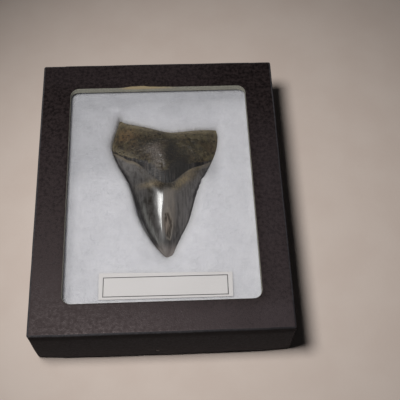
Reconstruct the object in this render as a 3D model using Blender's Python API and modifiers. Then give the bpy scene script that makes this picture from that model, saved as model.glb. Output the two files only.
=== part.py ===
"""A fossil shark tooth in a pinned, glass-topped specimen box.

The black box lies flat with its window up. A pad of fibre batting fills it and holds the tooth against the
glass, inner face up, the root at the far end and the tip at the near end. A small card lies below the tip.

Frame: metres, +Z up, origin at the middle of the box's underside, +Y towards the tooth's root, +X to the
right. Outlines of the tooth are in millimetres from that origin, and are scaled by MM.
"""

import math

import bmesh
import bpy
from mathutils import Vector
from mathutils.geometry import interpolate_bezier

MM = 0.001
GAP = 0.0003

# Box: outside sizes of the closed box, and the wrapped board that it is made of
BOX_WIDTH = 0.1143
BOX_LENGTH = 0.1397
BOX_HEIGHT = 0.03175
BOARD = 0.0015
FOLD_RADIUS = 0.0006
SKIRT_CLEARANCE = 0.0010

# Window in the lid
WINDOW_WIDTH = 0.0866
WINDOW_LENGTH = 0.1118
WINDOW_CORNER = 0.0037

# What lies under the window
GLASS_THICK = 0.0020
BATTING_EDGE = 0.0030
LABEL_THICK = 0.0003
LABEL_WIDTH = 0.0592
LABEL_LENGTH = 0.0118
LABEL_CENTRE = (0.0017, -0.0472)
LABEL_TURN = math.radians(-0.6)

# Pins: their height on the walls, how far left of the middle they are, and their wire
PIN_HEIGHT = 0.0070
PIN_OFFSET = -0.0029
PIN_SHAFT_RADIUS = 0.0004
PIN_HEAD_RADIUS = 0.0009
PIN_HEAD_THICK = 0.0005
PIN_LENGTH = 0.0125
PIN_POINT = 0.0020

# Tooth outline in millimetres, each side from the tip to the root's upper corner
TIP = (2.3, -28.8)
LEFT_SIDE = [
    (0.3, -27.7), (-2.7, -24.7), (-5.5, -20.6), (-8.3, -15.4), (-10.8, -10.1), (-12.6, -3.5),
    (-14.3, 2.8), (-16.6, 9.0), (-20.0, 16.2), (-23.0, 22.6), (-24.4, 27.8), (-23.4, 33.0),
    (-21.6, 38.4), (-20.2, 42.0),
]
RIGHT_SIDE = [
    (4.4, -27.3), (7.0, -22.7), (10.0, -17.4), (12.5, -12.0), (14.4, -5.7), (16.0, 0.0),
    (17.9, 5.4), (19.6, 9.6), (22.0, 13.2), (24.6, 17.0), (26.4, 22.0), (28.2, 28.0),
    (28.8, 32.6), (28.2, 36.0),
]
ROOT_TOP = [
    (-17.4, 40.9), (-13.0, 40.2), (-7.0, 38.8), (0.0, 36.4), (6.0, 35.3), (13.0, 35.4), (21.0, 36.0),
]

# Height of the cutting edge in millimetres: level at the root, and sunk into the batting towards the tip by
# a dip that starts this far from the tip
EDGE_HEIGHT = 20.0
TIP_DIP = 4.8
DIP_REACH = 44.0
DIP_POWER = 1.3

# The tooth's bulge above and below its cutting edge along the middle line, in millimetres, as (distance along
# the tooth from the tip, upper bulge, lower bulge)
BULGE = [
    (0.0, 0.5, 0.4), (2.5, 1.4, 1.0), (8.0, 2.6, 1.5), (18.0, 4.6, 1.9), (30.0, 6.3, 2.3), (40.0, 7.0, 3.2),
    (48.0, 7.4, 4.6), (56.0, 7.0, 5.4), (62.0, 5.9, 5.2), (69.0, 4.6, 4.2),
]

# Where the crown's thin-edged section gives way to the root's blunt one, in millimetres from the tip, the two
# sections' exponents, and the share of the length past which the root's far end rounds over
ROOT_START = 34.0
CROWN_LENGTH = 43.0
CROWN_SECTION = 1.7
ROOT_SECTION = 2.6
END_ROUNDING = 0.9
TOP_BEND = 3

# Steps of the tooth's grid and of its hollow's, and the hollow's room round and under the tooth in
# millimetres
TOOTH_ACROSS = 26
TOOTH_ALONG = 38
HOLLOW_ACROSS = 14
HOLLOW_ALONG = 20
HOLLOW_MARGIN = 1.0
HOLLOW_UNDER = 0.5
HOLLOW_FLARE = 6.0
HOLLOW_ABOVE = 1.0

GLASS_TOP = BOX_HEIGHT - BOARD - GAP
GLASS_BOTTOM = GLASS_TOP - GLASS_THICK
LABEL_BOTTOM = GLASS_BOTTOM - GAP - LABEL_THICK
BATTING_TOP = LABEL_BOTTOM - GAP
BATTING_BOTTOM = BOARD + GAP
TRAY_WIDTH = BOX_WIDTH - 2 * (BOARD + GAP)
TRAY_LENGTH = BOX_LENGTH - 2 * (BOARD + GAP)
TRAY_TOP = GLASS_BOTTOM - GAP


def clear_scene():
    for old in list(bpy.data.objects):
        bpy.data.objects.remove(old, do_unlink=True)


def new_collection(name):
    group = bpy.data.collections.new(name)
    bpy.context.scene.collection.children.link(group)
    return group


def material(name, colour, roughness, metallic=0.0, transmission=0.0):
    finish = bpy.data.materials.new(name)
    finish.use_nodes = True
    shader = finish.node_tree.nodes["Principled BSDF"]
    shader.inputs["Base Color"].default_value = (*colour, 1.0)
    shader.inputs["Roughness"].default_value = roughness
    shader.inputs["Metallic"].default_value = metallic
    shader.inputs["Transmission Weight"].default_value = transmission
    finish.diffuse_color = (*colour, 1.0)
    return finish


def object_from(bm, name, group, finish=None):
    mesh = bpy.data.meshes.new(name)
    bm.to_mesh(mesh)
    bm.free()
    piece = bpy.data.objects.new(name, mesh)
    group.objects.link(piece)
    if finish:
        mesh.materials.append(finish)
    return piece


def box(name, group, low, high, finish=None):
    """A box between two corners, with its origin at its middle."""
    low, high = Vector(low), Vector(high)
    bm = bmesh.new()
    bmesh.ops.create_cube(bm, size=1.0)
    bmesh.ops.scale(bm, vec=high - low, verts=bm.verts)
    piece = object_from(bm, name, group, finish)
    piece.location = (low + high) / 2
    return piece


def standing_edges(bm):
    return [edge for edge in bm.edges if abs((edge.verts[0].co - edge.verts[1].co).normalized().z) > 0.9]


def round_plan_corners(piece, radius, steps):
    bm = bmesh.new()
    bm.from_mesh(piece.data)
    bmesh.ops.bevel(bm, geom=standing_edges(bm), offset=radius, segments=steps, profile=0.5, affect="EDGES")
    bm.to_mesh(piece.data)
    bm.free()


def cutter(piece):
    piece.hide_render = True
    piece.display_type = "WIRE"
    return piece


def cut(piece, tool):
    step = piece.modifiers.new("cut_" + tool.name, "BOOLEAN")
    step.operation = "DIFFERENCE"
    step.solver = "EXACT"
    step.object = cutter(tool)


def soften(piece, width, steps=2):
    step = piece.modifiers.new("folds", "BEVEL")
    step.width = width
    step.segments = steps
    step.limit_method = "ANGLE"


def pin_hole(name, group, side):
    """A cutter along Y for one pin, clear of its shaft all round; side is -1 near and +1 far."""
    reach = PIN_LENGTH + 2 * GAP
    bm = bmesh.new()
    radius = PIN_SHAFT_RADIUS + GAP
    bmesh.ops.create_cone(bm, cap_ends=True, segments=12, radius1=radius, radius2=radius, depth=2 * reach)
    tool = object_from(bm, name, group)
    tool.rotation_euler = (math.pi / 2, 0.0, 0.0)
    tool.location = (PIN_OFFSET, side * BOX_LENGTH / 2, PIN_HEIGHT)
    return tool


def make_pin(name, group, side, finish):
    """Wire, flat head and point turned about one axis, with the head just clear of the skirt."""
    head_back = PIN_LENGTH + GAP
    profile = [
        (0.0, head_back + PIN_HEAD_THICK),
        (PIN_HEAD_RADIUS * 0.8, head_back + PIN_HEAD_THICK),
        (PIN_HEAD_RADIUS, head_back + PIN_HEAD_THICK / 2),
        (PIN_HEAD_RADIUS * 0.9, head_back),
        (PIN_SHAFT_RADIUS, head_back),
        (PIN_SHAFT_RADIUS, PIN_POINT),
        (0.0, 0.0),
    ]
    mesh = bpy.data.meshes.new(name)
    mesh.from_pydata([(radius, 0.0, along) for radius, along in profile], [(i, i + 1) for i in range(6)], [])
    mesh.materials.append(finish)
    pin = bpy.data.objects.new(name, mesh)
    group.objects.link(pin)
    turn = pin.modifiers.new("turn", "SCREW")
    turn.steps = 12
    turn.render_steps = 12
    turn.use_merge_vertices = True
    turn.merge_threshold = 0.00001
    pin.rotation_euler = (side * -math.pi / 2, 0.0, 0.0)
    pin.location = (PIN_OFFSET, side * (BOX_LENGTH / 2 - PIN_LENGTH), PIN_HEIGHT)
    return pin


def spline(points, steps):
    """Points at equal steps of length along a smooth curve through the given points."""
    points = [Vector((x, y, 0.0)) for x, y in points]
    count = len(points)
    slope = [(points[min(i + 1, count - 1)] - points[max(i - 1, 0)]) / 2 for i in range(count)]
    fine = [points[0]]
    for i in range(count - 1):
        handle_a = points[i] + slope[i] / 3
        handle_b = points[i + 1] - slope[i + 1] / 3
        fine += interpolate_bezier(points[i], handle_a, handle_b, points[i + 1], 12)[1:]
    reach = [0.0]
    for a, b in zip(fine, fine[1:]):
        reach.append(reach[-1] + (b - a).length)
    placed = []
    for step in steps:
        wanted = step * reach[-1]
        i = max(k for k in range(len(reach) - 1) if reach[k] <= wanted + 1e-9)
        part = (wanted - reach[i]) / max(reach[i + 1] - reach[i], 1e-9)
        placed.append(fine[i].lerp(fine[i + 1], min(part, 1.0)))
    return placed


def along_table(table, place, column):
    """A value read from BULGE at a distance from the tip, eased between its rows."""
    for low, high in zip(table, table[1:]):
        if place <= high[0]:
            part = (place - low[0]) / (high[0] - low[0])
            part = part * part * (3 - 2 * part)
            return low[column] + part * (high[column] - low[column])
    return table[-1][column]


def tooth_plan(across, along):
    """Rows of plan points from the tip to the root's top, each row from the left edge to the right edge."""
    along_steps = [math.sin(math.pi / 2 * (i + 1) / along) for i in range(along)]
    across_steps = [(1 - math.cos(math.pi * i / across)) / 2 for i in range(across + 1)]
    left = spline([TIP] + LEFT_SIDE, along_steps)
    right = spline([TIP] + RIGHT_SIDE, along_steps)
    top = spline([LEFT_SIDE[-1]] + ROOT_TOP + [RIGHT_SIDE[-1]], across_steps)
    rows = []
    for i, step in enumerate(along_steps):
        row = []
        for j, share in enumerate(across_steps):
            straight = left[i].lerp(right[i], share)
            bend = top[j] - left[-1].lerp(right[-1], share)
            row.append(straight + bend * step ** TOP_BEND)
        rows.append(row)
    return rows, along_steps, across_steps


def edge_height(point):
    """Height of the tooth's cutting edge over one plan point, in millimetres."""
    return EDGE_HEIGHT - TIP_DIP * max(0.0, 1 - (point.y - TIP[1]) / DIP_REACH) ** DIP_POWER


def tooth_bulge(point, step, share, column):
    """Bulge above (column 1) or below (column 2) the cutting edge at one plan point, in millimetres."""
    from_tip = point.y - TIP[1]
    middle = along_table(BULGE, from_tip, column)
    side = abs(2 * share - 1)
    rootness = min(max((from_tip - ROOT_START) / (CROWN_LENGTH - ROOT_START), 0.0), 1.0)
    lens = 1 - side ** CROWN_SECTION
    blunt = math.sqrt(max(1 - side ** ROOT_SECTION, 0.0))
    profile = lens + (blunt - lens) * rootness
    end = max(0.0, step - END_ROUNDING) / (1 - END_ROUNDING)
    return middle * profile * math.sqrt(max(1 - end * end, 0.0))


def tooth_sheets(across, along):
    """Plan rows with the height of the upper and of the lower face at each point; they meet at the edge."""
    rows, along_steps, across_steps = tooth_plan(across, along)
    upper, lower = [], []
    for row, step in zip(rows, along_steps):
        sides = list(zip(row, across_steps))
        upper.append([edge_height(p) + tooth_bulge(p, step, share, 1) for p, share in sides])
        lower.append([edge_height(p) - tooth_bulge(p, step, share, 2) for p, share in sides])
    return rows, upper, lower


def make_tooth(group, finish):
    """Crown and root as one body: a grid of points for its upper face and one for its lower face."""
    rows, upper, lower = tooth_sheets(TOOTH_ACROSS, TOOTH_ALONG)
    last_row, last_column = len(rows) - 1, TOOTH_ACROSS
    bm = bmesh.new()
    tip = bm.verts.new(Vector((TIP[0], TIP[1], EDGE_HEIGHT - TIP_DIP)) * MM)
    above, below = [], []
    for i, row in enumerate(rows):
        above_row, below_row = [], []
        for j, point in enumerate(row):
            high = bm.verts.new(Vector((point.x, point.y, upper[i][j])) * MM)
            on_rim = i == last_row or j in (0, last_column)
            low = high if on_rim else bm.verts.new(Vector((point.x, point.y, lower[i][j])) * MM)
            above_row.append(high)
            below_row.append(low)
        above.append(above_row)
        below.append(below_row)
    for j in range(last_column):
        bm.faces.new((tip, above[0][j + 1], above[0][j]))
        bm.faces.new((tip, below[0][j], below[0][j + 1]))
    for i in range(last_row):
        for j in range(last_column):
            bm.faces.new((above[i][j], above[i][j + 1], above[i + 1][j + 1], above[i + 1][j]))
            bm.faces.new((below[i][j], below[i + 1][j], below[i + 1][j + 1], below[i][j + 1]))
    bmesh.ops.triangulate(bm, faces=bm.faces)
    tooth = object_from(bm, "tooth", group, finish)
    tooth.data.shade_smooth()
    return tooth


def rim_points(rows):
    """The tooth's outline once round: up the right side, back along the root's top and down the left side."""
    right = [row[-1] for row in rows]
    top = rows[-1][-2:0:-1]
    left = [row[0] for row in reversed(rows)]
    return [Vector((TIP[0], TIP[1], 0.0))] + right + top + left


def make_hollow(group):
    """The cutter for the batting: the tooth's underside, then a wall that leans out to above the batting."""
    rows, _, lower = tooth_sheets(HOLLOW_ACROSS, HOLLOW_ALONG)
    rim = rim_points(rows)
    count = len(rim)
    outward = []
    for i in range(count):
        run = (rim[(i + 1) % count] - rim[i - 1]).normalized()
        outward.append(Vector((run.y, -run.x, 0.0)))
    bm = bmesh.new()

    def ring(spread, heights):
        placed = [p + n * spread + Vector((0, 0, z)) for p, n, z in zip(rim, outward, heights)]
        return [bm.verts.new(point * MM) for point in placed]

    rim_ring = ring(HOLLOW_MARGIN, [edge_height(p) - HOLLOW_UNDER for p in rim])
    brow_ring = ring(HOLLOW_MARGIN + HOLLOW_FLARE, [BATTING_TOP / MM + HOLLOW_ABOVE] * count)
    along, across = len(rows), HOLLOW_ACROSS
    grid = [[None] * (across + 1) for _ in rows]
    for i in range(along):
        grid[i][across] = rim_ring[1 + i]
        grid[i][0] = rim_ring[count - 1 - i]
    for j in range(1, across):
        grid[along - 1][j] = rim_ring[along + across - j]
    for i in range(along - 1):
        for j in range(1, across):
            point = rows[i][j]
            grid[i][j] = bm.verts.new(Vector((point.x, point.y, lower[i][j] - HOLLOW_UNDER)) * MM)
    for j in range(across):
        bm.faces.new((rim_ring[0], grid[0][j], grid[0][j + 1]))
    for i in range(along - 1):
        for j in range(across):
            bm.faces.new((grid[i][j], grid[i + 1][j], grid[i + 1][j + 1], grid[i][j + 1]))
    for i in range(count):
        k = (i + 1) % count
        bm.faces.new((rim_ring[i], rim_ring[k], brow_ring[k], brow_ring[i]))
    bm.faces.new(brow_ring)
    bmesh.ops.triangulate(bm, faces=bm.faces)
    bmesh.ops.recalc_face_normals(bm, faces=bm.faces)
    return object_from(bm, "tooth_hollow", group)


def make_tray(group, cutters, finish):
    half_width, half_length = TRAY_WIDTH / 2, TRAY_LENGTH / 2
    tray = box("tray", group, (-half_width, -half_length, 0.0), (half_width, half_length, TRAY_TOP), finish)
    inside = box(
        "tray_inside", cutters,
        (BOARD - half_width, BOARD - half_length, BOARD),
        (half_width - BOARD, half_length - BOARD, TRAY_TOP + BOARD),
    )
    cut(tray, inside)
    return tray


def make_lid(group, cutters, finish):
    half_width, half_length = BOX_WIDTH / 2, BOX_LENGTH / 2
    low = (-half_width, -half_length, SKIRT_CLEARANCE)
    lid = box("lid", group, low, (half_width, half_length, BOX_HEIGHT), finish)
    soften(lid, FOLD_RADIUS)
    inside = box(
        "lid_inside", cutters,
        (BOARD - half_width, BOARD - half_length, -BOARD),
        (half_width - BOARD, half_length - BOARD, BOX_HEIGHT - BOARD),
    )
    window = box(
        "window", cutters,
        (-WINDOW_WIDTH / 2, -WINDOW_LENGTH / 2, BOX_HEIGHT - 3 * BOARD),
        (WINDOW_WIDTH / 2, WINDOW_LENGTH / 2, BOX_HEIGHT + BOARD),
    )
    round_plan_corners(window, WINDOW_CORNER, 6)
    cut(lid, inside)
    cut(lid, window)
    return lid


def make_glass(group, finish):
    half_width = BOX_WIDTH / 2 - BOARD - GAP
    half_length = BOX_LENGTH / 2 - BOARD - GAP
    low = (-half_width, -half_length, GLASS_BOTTOM)
    return box("glass", group, low, (half_width, half_length, GLASS_TOP), finish)


def make_batting(group, hollow, finish):
    half_width = TRAY_WIDTH / 2 - BOARD - GAP
    half_length = TRAY_LENGTH / 2 - BOARD - GAP
    low = (-half_width, -half_length, BATTING_BOTTOM)
    batting = box("batting", group, low, (half_width, half_length, BATTING_TOP), finish)
    soften(batting, BATTING_EDGE)
    cut(batting, hollow)
    return batting


def make_label(group, finish):
    low = (-LABEL_WIDTH / 2, -LABEL_LENGTH / 2, LABEL_BOTTOM)
    high = (LABEL_WIDTH / 2, LABEL_LENGTH / 2, LABEL_BOTTOM + LABEL_THICK)
    card = box("label", group, low, high, finish)
    card.location.x, card.location.y = LABEL_CENTRE
    card.rotation_euler.z = LABEL_TURN
    return card


clear_scene()
mount = new_collection("megalodon_tooth_mount")
cutters = new_collection("cutters")

black_paper = material("black_paper", (0.018, 0.016, 0.016), 0.6)
white_fibre = material("white_fibre", (0.62, 0.62, 0.65), 0.9)
fossil = material("fossil", (0.07, 0.06, 0.05), 0.35)
card_white = material("card_white", (0.75, 0.74, 0.72), 0.85)
clear_glass = material("clear_glass", (1.0, 1.0, 1.0), 0.02, transmission=1.0)
pin_steel = material("pin_steel", (0.05, 0.05, 0.05), 0.35, metallic=1.0)

tray = make_tray(mount, cutters, black_paper)
lid = make_lid(mount, cutters, black_paper)
batting = make_batting(mount, make_hollow(cutters), white_fibre)
make_glass(mount, clear_glass)
make_tooth(mount, fossil)
make_label(mount, card_white)
for pin_name, side in (("pin_near", -1), ("pin_far", 1)):
    make_pin(pin_name, mount, side, pin_steel)
    hole = pin_hole(pin_name + "_hole", cutters, side)
    for pierced in (lid, tray, batting):
        cut(pierced, hole)
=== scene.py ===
import math

import bmesh
import bpy
import numpy as np
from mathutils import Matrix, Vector


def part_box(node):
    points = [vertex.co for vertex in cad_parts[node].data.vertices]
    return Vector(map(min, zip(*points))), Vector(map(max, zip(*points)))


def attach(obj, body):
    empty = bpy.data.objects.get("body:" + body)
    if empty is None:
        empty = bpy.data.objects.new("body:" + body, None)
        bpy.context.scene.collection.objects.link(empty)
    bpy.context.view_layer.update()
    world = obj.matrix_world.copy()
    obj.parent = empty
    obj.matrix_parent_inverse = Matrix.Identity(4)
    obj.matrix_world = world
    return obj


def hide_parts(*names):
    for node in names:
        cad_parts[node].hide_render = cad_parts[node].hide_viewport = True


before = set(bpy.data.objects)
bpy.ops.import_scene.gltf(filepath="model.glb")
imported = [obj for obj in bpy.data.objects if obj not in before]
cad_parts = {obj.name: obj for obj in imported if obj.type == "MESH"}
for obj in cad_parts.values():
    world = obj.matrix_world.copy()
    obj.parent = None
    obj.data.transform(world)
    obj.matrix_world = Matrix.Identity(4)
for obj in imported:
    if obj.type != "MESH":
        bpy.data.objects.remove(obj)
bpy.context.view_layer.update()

# --------------------------------------------------
# Tray
# The lower half of the box: an open box of folded grey chipboard, wrapped in black paper. The paper is glued
# over the outside in one sheet, turned in over the rim, and rubbed bare here and there along its folds.
# --------------------------------------------------
MM = 0.001
BOARD = 1.5
PAPER_TURN_IN = 9.0
TRAY_CORNER = 0.9
TRAY_FOLD = 0.55
TRAY_FLOOR_SAG = 0.15
LAP_FROM_CORNER = 11.0
SIDE_STEPS = 96
CORNER_STEPS = 6

WALL_BLACKS = [(0.0450, 0.0430, 0.0470), (0.0780, 0.0755, 0.0820)]
# The darker tone painted on the walls just under the lid's fold: painted shade
WALL_PAINTED_SHADE = (0.022, 0.020, 0.022)
PAPER_GLOSS = (1.0, 0.83, 0.84)
PAPER_GRAIN = 0.05
PAPER_RUBBED = (0.115, 0.092, 0.068)
CHIPBOARD_GREY = (0.200, 0.196, 0.168)
CHIPBOARD_PALE = (0.290, 0.282, 0.238)
CHIPBOARD_OCHRE = (0.350, 0.280, 0.170)
# The places of the box's finishes in its lists: matt paper and raw board
PAPER, RAW = 0, 1

# Places along each side of the box, as shares of it, with a close pair where a paper lap steps down
NOMINAL_SIDE = 110.0
LAP_SHARE = LAP_FROM_CORNER / NOMINAL_SIDE
LAP_END_SHARE = LAP_SHARE + 0.0008
SHARES = np.sort(np.append(
    np.linspace(0.0, 1.0, SIDE_STEPS + 1), [LAP_SHARE, LAP_END_SHARE, 1 - LAP_SHARE, 1 - LAP_END_SHARE]))


def box_of(node):
    """The lowest and the highest corner of a CAD node's box, in millimetres."""
    return [np.array(corner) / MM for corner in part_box(node)]


def plan_ring(half_width, half_length, corner):
    """Points once round a rounded rectangle, anticlockwise from its near left corner, in millimetres."""
    inner_x, inner_y = half_width - corner, half_length - corner
    centres = [(inner_x, -inner_y), (inner_x, inner_y), (-inner_x, inner_y), (-inner_x, -inner_y)]
    points = []
    for turn, centre in enumerate(centres):
        start = math.radians(90 * turn - 90)
        reach = corner * np.array([math.cos(start), math.sin(start)])
        side_start = np.array(centres[turn - 1]) + reach
        side_end = np.array(centre) + reach
        points += [side_start + (side_end - side_start) * share for share in SHARES]
        for step in range(1, CORNER_STEPS):
            angle = start + math.pi / 2 * step / CORNER_STEPS
            points.append(np.array(centre) + corner * np.array([math.cos(angle), math.sin(angle)]))
    return np.array(points)


def lifted(plan, height):
    """A ring of plan points at a height, which may be one number or one for each point."""
    return np.column_stack([plan, np.broadcast_to(height, len(plan))])


def loft(bm, rings, finishes, closed=False):
    """Skins the bands between successive rings; each band takes its place in the piece's material list."""
    loops = [[bm.verts.new(point * MM) for point in ring] for ring in rings]
    uppers = loops[1:] + loops[:1] if closed else loops[1:]
    for lower, upper, finish in zip(loops, uppers, finishes):
        for i in range(len(lower)):
            k = (i + 1) % len(lower)
            face = bm.faces.new((lower[i], lower[k], upper[k], upper[i]))
            face.material_index = finish
            face.smooth = True
    return loops


def placed(name, data):
    """Puts a mesh, a lamp or a camera into the scene."""
    thing = bpy.data.objects.new(name, data)
    bpy.context.scene.collection.objects.link(thing)
    return thing


def made_piece(bm, name, finishes, sharp_degrees=40.0):
    """Turns a built skin into a piece with its materials; folds steeper than the angle stay sharp."""
    mesh = bpy.data.meshes.new(name)
    bm.to_mesh(mesh)
    bm.free()
    for finish in finishes:
        mesh.materials.append(finish)
    mesh.set_sharp_from_angle(angle=math.radians(sharp_degrees))
    return placed(name, mesh)


def paint(piece, name, values):
    """Stores a number or a direction for each vertex, which materials and node trees read by name."""
    values = np.asarray(values, np.float32)
    kind, field = ("FLOAT", "value") if values.ndim == 1 else ("FLOAT_VECTOR", "vector")
    piece.data.attributes.new(name, kind, "POINT").data.foreach_set(field, values.ravel())


def vertex_places(piece):
    """The piece's vertices in millimetres, one row each."""
    places = np.zeros(len(piece.data.vertices) * 3)
    piece.data.vertices.foreach_get("co", places)
    return places.reshape(-1, 3) / MM


def ease(value, start, end):
    """0 before start, 1 after end, and smooth between them; start may be the higher of the two."""
    part = np.clip((value - start) / (end - start), 0.0, 1.0)
    return part * part * (3 - 2 * part)


def feed(tree, socket, value):
    """Feeds a socket from another node's output, or with a number, a direction, a colour or a material."""
    if isinstance(value, bpy.types.NodeSocket):
        tree.links.new(value, socket)
    else:
        socket.default_value = (*value, 1.0) if socket.type == "RGBA" else value


def add_node(tree, kind, inputs, **settings):
    """Adds a node with its settings, and feeds its inputs, which are given by name or by number."""
    node = tree.nodes.new(kind)
    for name, setting in settings.items():
        setattr(node, name, setting)
    for name, value in inputs.items():
        feed(tree, node.inputs[name], value)
    return node


def maths(tree, operation, *values):
    """A sum on one or two values, each of them a number or another node's output."""
    return add_node(tree, "ShaderNodeMath", dict(enumerate(values)), operation=operation).outputs[0]


class Finish:
    """A material with its node tree, and the few kinds of node that the finishes here are mixed from."""

    def __init__(self, name, roughness=0.5, specular=0.5):
        self.material = bpy.data.materials.new(name)
        self.material.use_nodes = True
        self.tree = self.material.node_tree
        self.shader = self.tree.nodes["Principled BSDF"]
        self.set("Roughness", roughness)
        self.set("Specular IOR Level", specular)
        self.place = self.node("TexCoord", {}).outputs["Object"]

    def set(self, name, value):
        """Feeds one of the shader's own inputs."""
        feed(self.tree, self.shader.inputs[name], value)

    def node(self, kind, inputs, **settings):
        """Adds a shader node."""
        return add_node(self.tree, "ShaderNode" + kind, inputs, **settings)

    def stretched(self, x, y, z):
        """Places scaled along each axis; a pattern read there is drawn out where the scale is small."""
        return self.node("Mapping", {"Scale": (x, y, z), "Vector": self.place}).outputs["Vector"]

    def noise(self, size, detail=3.0, place=None, twist=0.0):
        """Cloudy values round 0.5 whose clouds are about size millimetres across."""
        inputs = {"Scale": 1 / (size * MM), "Detail": detail, "Distortion": twist}
        return self.node("TexNoise", {**inputs, "Vector": place or self.place}).outputs["Fac"]

    def cells(self, size):
        """How far each place is from the middle of its cell, in a random pattern of cells."""
        return self.node("TexVoronoi", {"Scale": 1 / (size * MM), "Vector": self.place}).outputs["Distance"]

    def zone(self, name):
        """The share that is painted on the piece under a name."""
        return self.node("Attribute", {}, attribute_name=name).outputs["Fac"]

    def span(self, value, low, high, to_low=0.0, to_high=1.0):
        """Turns low into to_low and high into to_high, smoothly between them and level beyond."""
        inputs = {"Value": value, "From Min": low, "From Max": high, "To Min": to_low, "To Max": to_high}
        return self.node("MapRange", inputs, interpolation_type="SMOOTHSTEP").outputs["Result"]

    def plus(self, first, second):
        """Two values added."""
        return maths(self.tree, "ADD", first, second)

    def times(self, first, second):
        """Two values multiplied."""
        return maths(self.tree, "MULTIPLY", first, second)

    def mix(self, share, first, second):
        """The second colour laid over the first where the share is 1."""
        return self.node("Mix", {0: share, 6: first, 7: second}, data_type="RGBA").outputs[2]

    def patchy(self, name, pattern, low, high, least=0.0, most=1.0):
        """A painted share broken up by a pattern."""
        return self.times(self.zone(name), self.span(pattern, low, high, least, most))

    def relief(self, heights, depth):
        """Fine surface relief; depth is the height in millimetres that a value of 1 stands for."""
        bump = self.node("Bump", {"Distance": depth * MM, "Height": heights})
        self.set("Normal", bump.outputs["Normal"])


def black_paper(name, colours, painted_sheen_and_shade, smoothest, roughest, specular):
    """Black wrapping paper with a fine grain, with a second colour laid in its zone of painted sheen and
    painted shade, and rubbed on its folds.
    """
    finish = Finish(name, specular=specular)
    finish.set("Specular Tint", PAPER_GLOSS)
    cloud = finish.noise(1.5, detail=5.0)
    grain = finish.noise(0.36)
    shade = finish.plus(finish.times(cloud, 0.45), finish.times(grain, 0.55))
    ground = finish.mix(finish.span(shade, 0.38, 0.62), *colours)
    # The second colour is painted light: lighter on the lid's top as painted sheen, darker on its walls as
    # painted shade
    ground = finish.mix(finish.patchy("painted_sheen_and_shade", grain, 0.3, 0.7, 0.6, 1.0), ground, painted_sheen_and_shade)
    scuffs = finish.patchy("rubbed", finish.noise(1.1, detail=4.0), 0.48, 0.66)
    finish.set("Base Color", finish.mix(scuffs, ground, PAPER_RUBBED))
    finish.set("Roughness", finish.span(cloud, 0.3, 0.7, smoothest, roughest))
    finish.relief(finish.plus(grain, finish.times(finish.cells(0.5), 0.3)), PAPER_GRAIN)
    return finish.material


def chipboard():
    """Raw board with pulp flecks: grey-green on its cut edges, ochre where it is freshly torn."""
    finish = Finish("raw_chipboard", roughness=0.9, specular=0.2)
    pulp = finish.noise(0.55, detail=4.0)
    cut = finish.mix(finish.span(pulp, 0.35, 0.68), CHIPBOARD_GREY, CHIPBOARD_PALE)
    torn = finish.patchy("torn", pulp, 0.3, 0.6, 0.7, 1.0)
    finish.set("Base Color", finish.mix(torn, cut, CHIPBOARD_OCHRE))
    finish.relief(pulp, 0.12)
    return finish.material


MATT_PAPER = black_paper("matt_black_paper_of_the_walls", WALL_BLACKS, WALL_PAINTED_SHADE, 0.75, 0.90, 0.04)
RAW_BOARD = chipboard()


def tray_rings():
    """The tray's section from its foot up the outside, over the rim and down the inside."""
    half_width, half_length, top = box_of("tray")[1]
    # Each place on the section is given as its inset from the outside and its height.
    outside = [(1.4, 0.0), (TRAY_FOLD, 0.0), (0.16, 0.16), (0.0, TRAY_FOLD), (0.0, 6.0), (0.0, 14.0)]
    outside += [(0.0, 21.0), (0.0, top - 0.5), (0.18, top - 0.1), (0.6, top)]
    inside = [(1.1, top), (1.42, top - 0.2), (BOARD, top - 0.7), (BOARD, top - PAPER_TURN_IN)]
    inside += [(BOARD + 0.14, top - PAPER_TURN_IN - 0.05), (BOARD + 0.14, 9.0), (BOARD + 0.2, BOARD + 0.1)]
    inside += [(BOARD + 2.0, BOARD)]
    rings = []
    for inset, height in outside + inside:
        corner = max(TRAY_CORNER - inset, 0.15)
        rings.append(lifted(plan_ring(half_width - inset, half_length - inset, corner), height))
    paper_bands = len(outside) + 3
    return rings, [PAPER] * paper_bands + [RAW] * (len(rings) - paper_bands)


def make_tray():
    """The tray as one skin, its underside sagging to the table and its corners a little rubbed."""
    rings, finishes = tray_rings()
    bm = bmesh.new()
    loops = loft(bm, rings, finishes)
    underside = [bm.verts.new((v.co.x * 0.5, v.co.y * 0.5, TRAY_FLOOR_SAG * MM)) for v in loops[0]]
    for i in range(len(underside)):
        k = (i + 1) % len(underside)
        bm.faces.new((underside[i], underside[k], loops[0][k], loops[0][i])).smooth = True
    bm.faces.new(list(reversed(underside))).smooth = True
    bm.faces.new(loops[-1]).material_index = RAW
    tray = made_piece(bm, "tray_of_the_box", [MATT_PAPER, RAW_BOARD])
    x, y, z = vertex_places(tray).T
    corner = ease(np.hypot(np.abs(x) - np.abs(x).max(), np.abs(y) - np.abs(y).max()), 6.0, 0.5)
    paint(tray, "rubbed", 0.5 * corner * ease(z, 2.2, 0.2))
    return tray


tray = make_tray()
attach(tray, "root")
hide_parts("tray")

# --------------------------------------------------
# Tooth
# One fossil shark tooth, inner face up, root far and tip near: a dull olive-brown root, a black striated
# collar, and a polished grey crown with a chip out of its middle. Nothing fixes it: it lies sunk in the
# batting with its highest point just under the glass.
# --------------------------------------------------
TIP = (2.4, -29.8)
LEFT_EDGE = [
    (0.3, -28.5), (-2.8, -25.0), (-5.6, -20.6), (-8.3, -15.4), (-10.5, -10.1), (-12.1, -3.5),
    (-13.8, 2.8), (-16.3, 9.0), (-20.2, 16.2), (-22.9, 22.6), (-23.8, 27.8), (-22.9, 33.0),
    (-21.4, 38.4), (-20.8, 42.0), (-20.4, 43.3),
]
RIGHT_EDGE = [
    (4.8, -28.1), (7.3, -22.9), (10.2, -17.4), (12.8, -12.0), (14.8, -5.7), (16.4, 0.0),
    (18.2, 4.8), (19.4, 8.2), (20.4, 10.4), (21.7, 12.4), (24.0, 16.3), (26.0, 20.1),
    (27.7, 24.4), (28.6, 28.8), (28.9, 32.8), (28.4, 36.8),
]
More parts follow.
